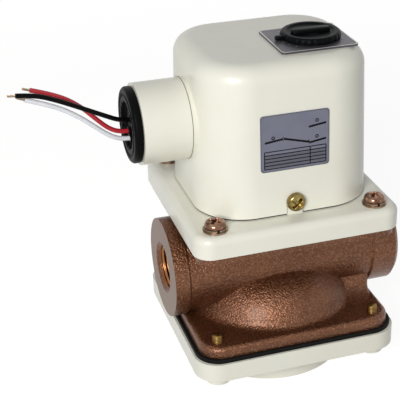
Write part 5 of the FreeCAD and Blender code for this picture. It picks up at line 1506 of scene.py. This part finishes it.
@dataclass(frozen=True)
class Studio:
    """A pale floor, soft light from the front left, and the camera.

    right, up and back are the camera's three axes. The floor's glow and its share of the floor's look change
    from near_m to far_m away from the middle.
    """

    camera_mm: Point = (-142.5, -407.3, 286.6)
    right: Point = (0.94743, -0.31978, -0.01118)
    up: Point = (0.15061, 0.41484, 0.89735)
    back: Point = (-0.28231, -0.85185, 0.44119)
    lens_mm: float = 102.4
    sensor_mm: float = 36.0
    shift: Tuple[float, float] = (-0.126, -0.0276)
    clip_m: Tuple[float, float] = (0.02, 20.0)
    key_mm: Point = (-430.0, -620.0, 420.0)
    key_aim_mm: Point = (0.0, 0.0, 75.0)
    key_size_mm: float = 330.0
    key_watts: float = 5.05
    world_light: float = 0.19
    floor_half_mm: float = 3000.0
    floor_drop_mm: float = 0.05
    paper: str = "CFCFCD"
    near_m: float = 0.35
    far_m: float = 1.6
    glow_share: Tuple[float, float] = (0.6, 1.0)
    glow_strength: Tuple[float, float] = (1.5, 1.0)

    def build(self) -> None:
        """Make the camera, the lamp, the world and the floor."""
        self.camera()
        self.key_lamp()
        self.world()
        self.floor()
        LOG.info("set up the studio")

    def camera(self) -> None:
        """Place the camera from its three axes."""
        data = bpy.data.cameras.new("Camera")
        data.lens, data.sensor_width = self.lens_mm, self.sensor_mm
        data.shift_x, data.shift_y = self.shift
        data.clip_start, data.clip_end = self.clip_m
        camera = bpy.data.objects.new("Camera", data)
        bpy.context.scene.collection.objects.link(camera)
        axes = Matrix((self.right, self.up, self.back)).transposed()
        camera.matrix_world = Matrix.Translation(Vector(self.camera_mm) * MM) @ axes.to_4x4()
        bpy.context.scene.camera = camera

    def key_lamp(self) -> None:
        """Add the square softbox, which faces the middle of the object."""
        data = bpy.data.lights.new("Key_softbox", "AREA")
        data.energy, data.size = self.key_watts, self.key_size_mm * MM
        lamp = bpy.data.objects.new("Key_softbox", data)
        bpy.context.scene.collection.objects.link(lamp)
        lamp.location = Vector(self.key_mm) * MM
        aim = Vector(self.key_aim_mm) * MM - Vector(self.key_mm) * MM
        lamp.rotation_euler = aim.to_track_quat("-Z", "Y").to_euler()

    def seen(self, tree: Tree) -> Socket:
        """Tell the rays that show the background from those that light the object.

        Args:
            tree: The floor's or the world's node tree.

        Returns:
            1 for rays from the camera, and for those mirrored or let through by metal and glass.
        """
        path = add_node(tree, "LightPath")
        either = path.outputs["Is Camera Ray"]
        for ray in ("Is Transmission Ray", "Is Glossy Ray"):
            either = add_node(
                tree, "Math", {"operation": "MAXIMUM"}, {0: either, 1: path.outputs[ray]}
            ).outputs[0]
        return either

    def world(self) -> None:
        """Make a world that is white to the eye and a plain grey light to the object."""
        world = bpy.data.worlds.new("Studio_world")
        bpy.context.scene.world = world
        world.use_nodes = True
        tree = world.node_tree
        tree.nodes.clear()
        light = add_node(tree, "Background", {"Color": WHITE, "Strength": self.world_light})
        white = add_node(tree, "Background", {"Color": WHITE, "Strength": 1.0})
        mixed = add_node(
            tree, "MixShader", None, {0: self.seen(tree), 1: light.outputs[0], 2: white.outputs[0]}
        )
        add_node(tree, "OutputWorld", None, {"Surface": mixed.outputs[0]})

    def floor(self) -> None:
        """Lay a wide white floor that keeps a soft share of the object's shadow."""
        edge = np.array([-self.floor_half_mm, self.floor_half_mm])
        x, y = np.meshgrid(edge, edge, indexing="ij")
        floor = surface("Floor", [np.stack([x, y, np.full_like(x, -self.floor_drop_mm)], axis=-1)])
        floor.data.materials.append(self.floor_paper())

    def floor_paper(self) -> bpy.types.Material:
        """Make the floor's material: matt paper, and a glow that only the seen rays meet.

        Returns:
            The new material.
        """
        made = bpy.data.materials.new("White_Paper_Floor")
        made.use_nodes = True
        tree = made.node_tree
        tree.nodes.clear()
        place = add_node(tree, "TexCoord").outputs["Object"]
        reach = add_node(tree, "VectorMath", {"operation": "LENGTH"}, {0: place}).outputs["Value"]
        far, strength = (
            add_node(
                tree,
                "MapRange",
                {"From Min": self.near_m, "From Max": self.far_m, "To Min": start, "To Max": end},
                {"Value": reach},
            ).outputs["Result"]
            for start, end in (self.glow_share, self.glow_strength)
        )
        paper = add_node(tree, "BsdfDiffuse", {"Color": tint(self.paper)})
        glow = add_node(tree, "Emission", {"Color": WHITE}, {"Strength": strength})
        seen = self.seen(tree)
        share = add_node(tree, "Math", {"operation": "MULTIPLY"}, {0: seen, 1: far}).outputs[0]
        mixed = add_node(tree, "MixShader", None, {0: share, 1: paper.outputs[0], 2: glow.outputs[0]})
        add_node(tree, "OutputMaterial", None, {"Surface": mixed.outputs[0]})
        return made


def main() -> None:
    """Build everything in order."""
    logging.basicConfig(level=logging.INFO, format="%(name)s: %(message)s")
    bpy.context.scene.view_settings.view_transform = "Standard"
    Studio().build()
    for lead in LEADS:
        lead.build()
    CastingsAndFrame().dress()
    CircuitLabel().build()
    SettingKnob().build()
    PortThread("Inlet_thread", mouth_x=-46.7, inward=1.0).build()
    PortThread("Outlet_thread", mouth_x=52.8, inward=-1.0).build()
    LeadGrommet().build()
    ScrewEnds(
        "Lower_screw_threads", "bottom_cover_screws", DARK_BRASS,
        radius=2.0, pitch=0.7, low=27.5, high=30.72, inset=3.5,
    ).build()
    ScrewEnds(
        "Base_screw_threads", "base_screws", COPPERY,
        radius=2.5, pitch=0.8, low=63.68, high=65.9, inset=4.3,
    ).build()
    DialMarks().build()
    HeadedScrews.of_base().build()
    HeadedScrews.of_cover().build()
    SocketSeamShade().build()
    OutletWeb().build()
    RangeSpring().build()
    bpy.context.view_layer.update()


if __name__ == "__main__":
    main()
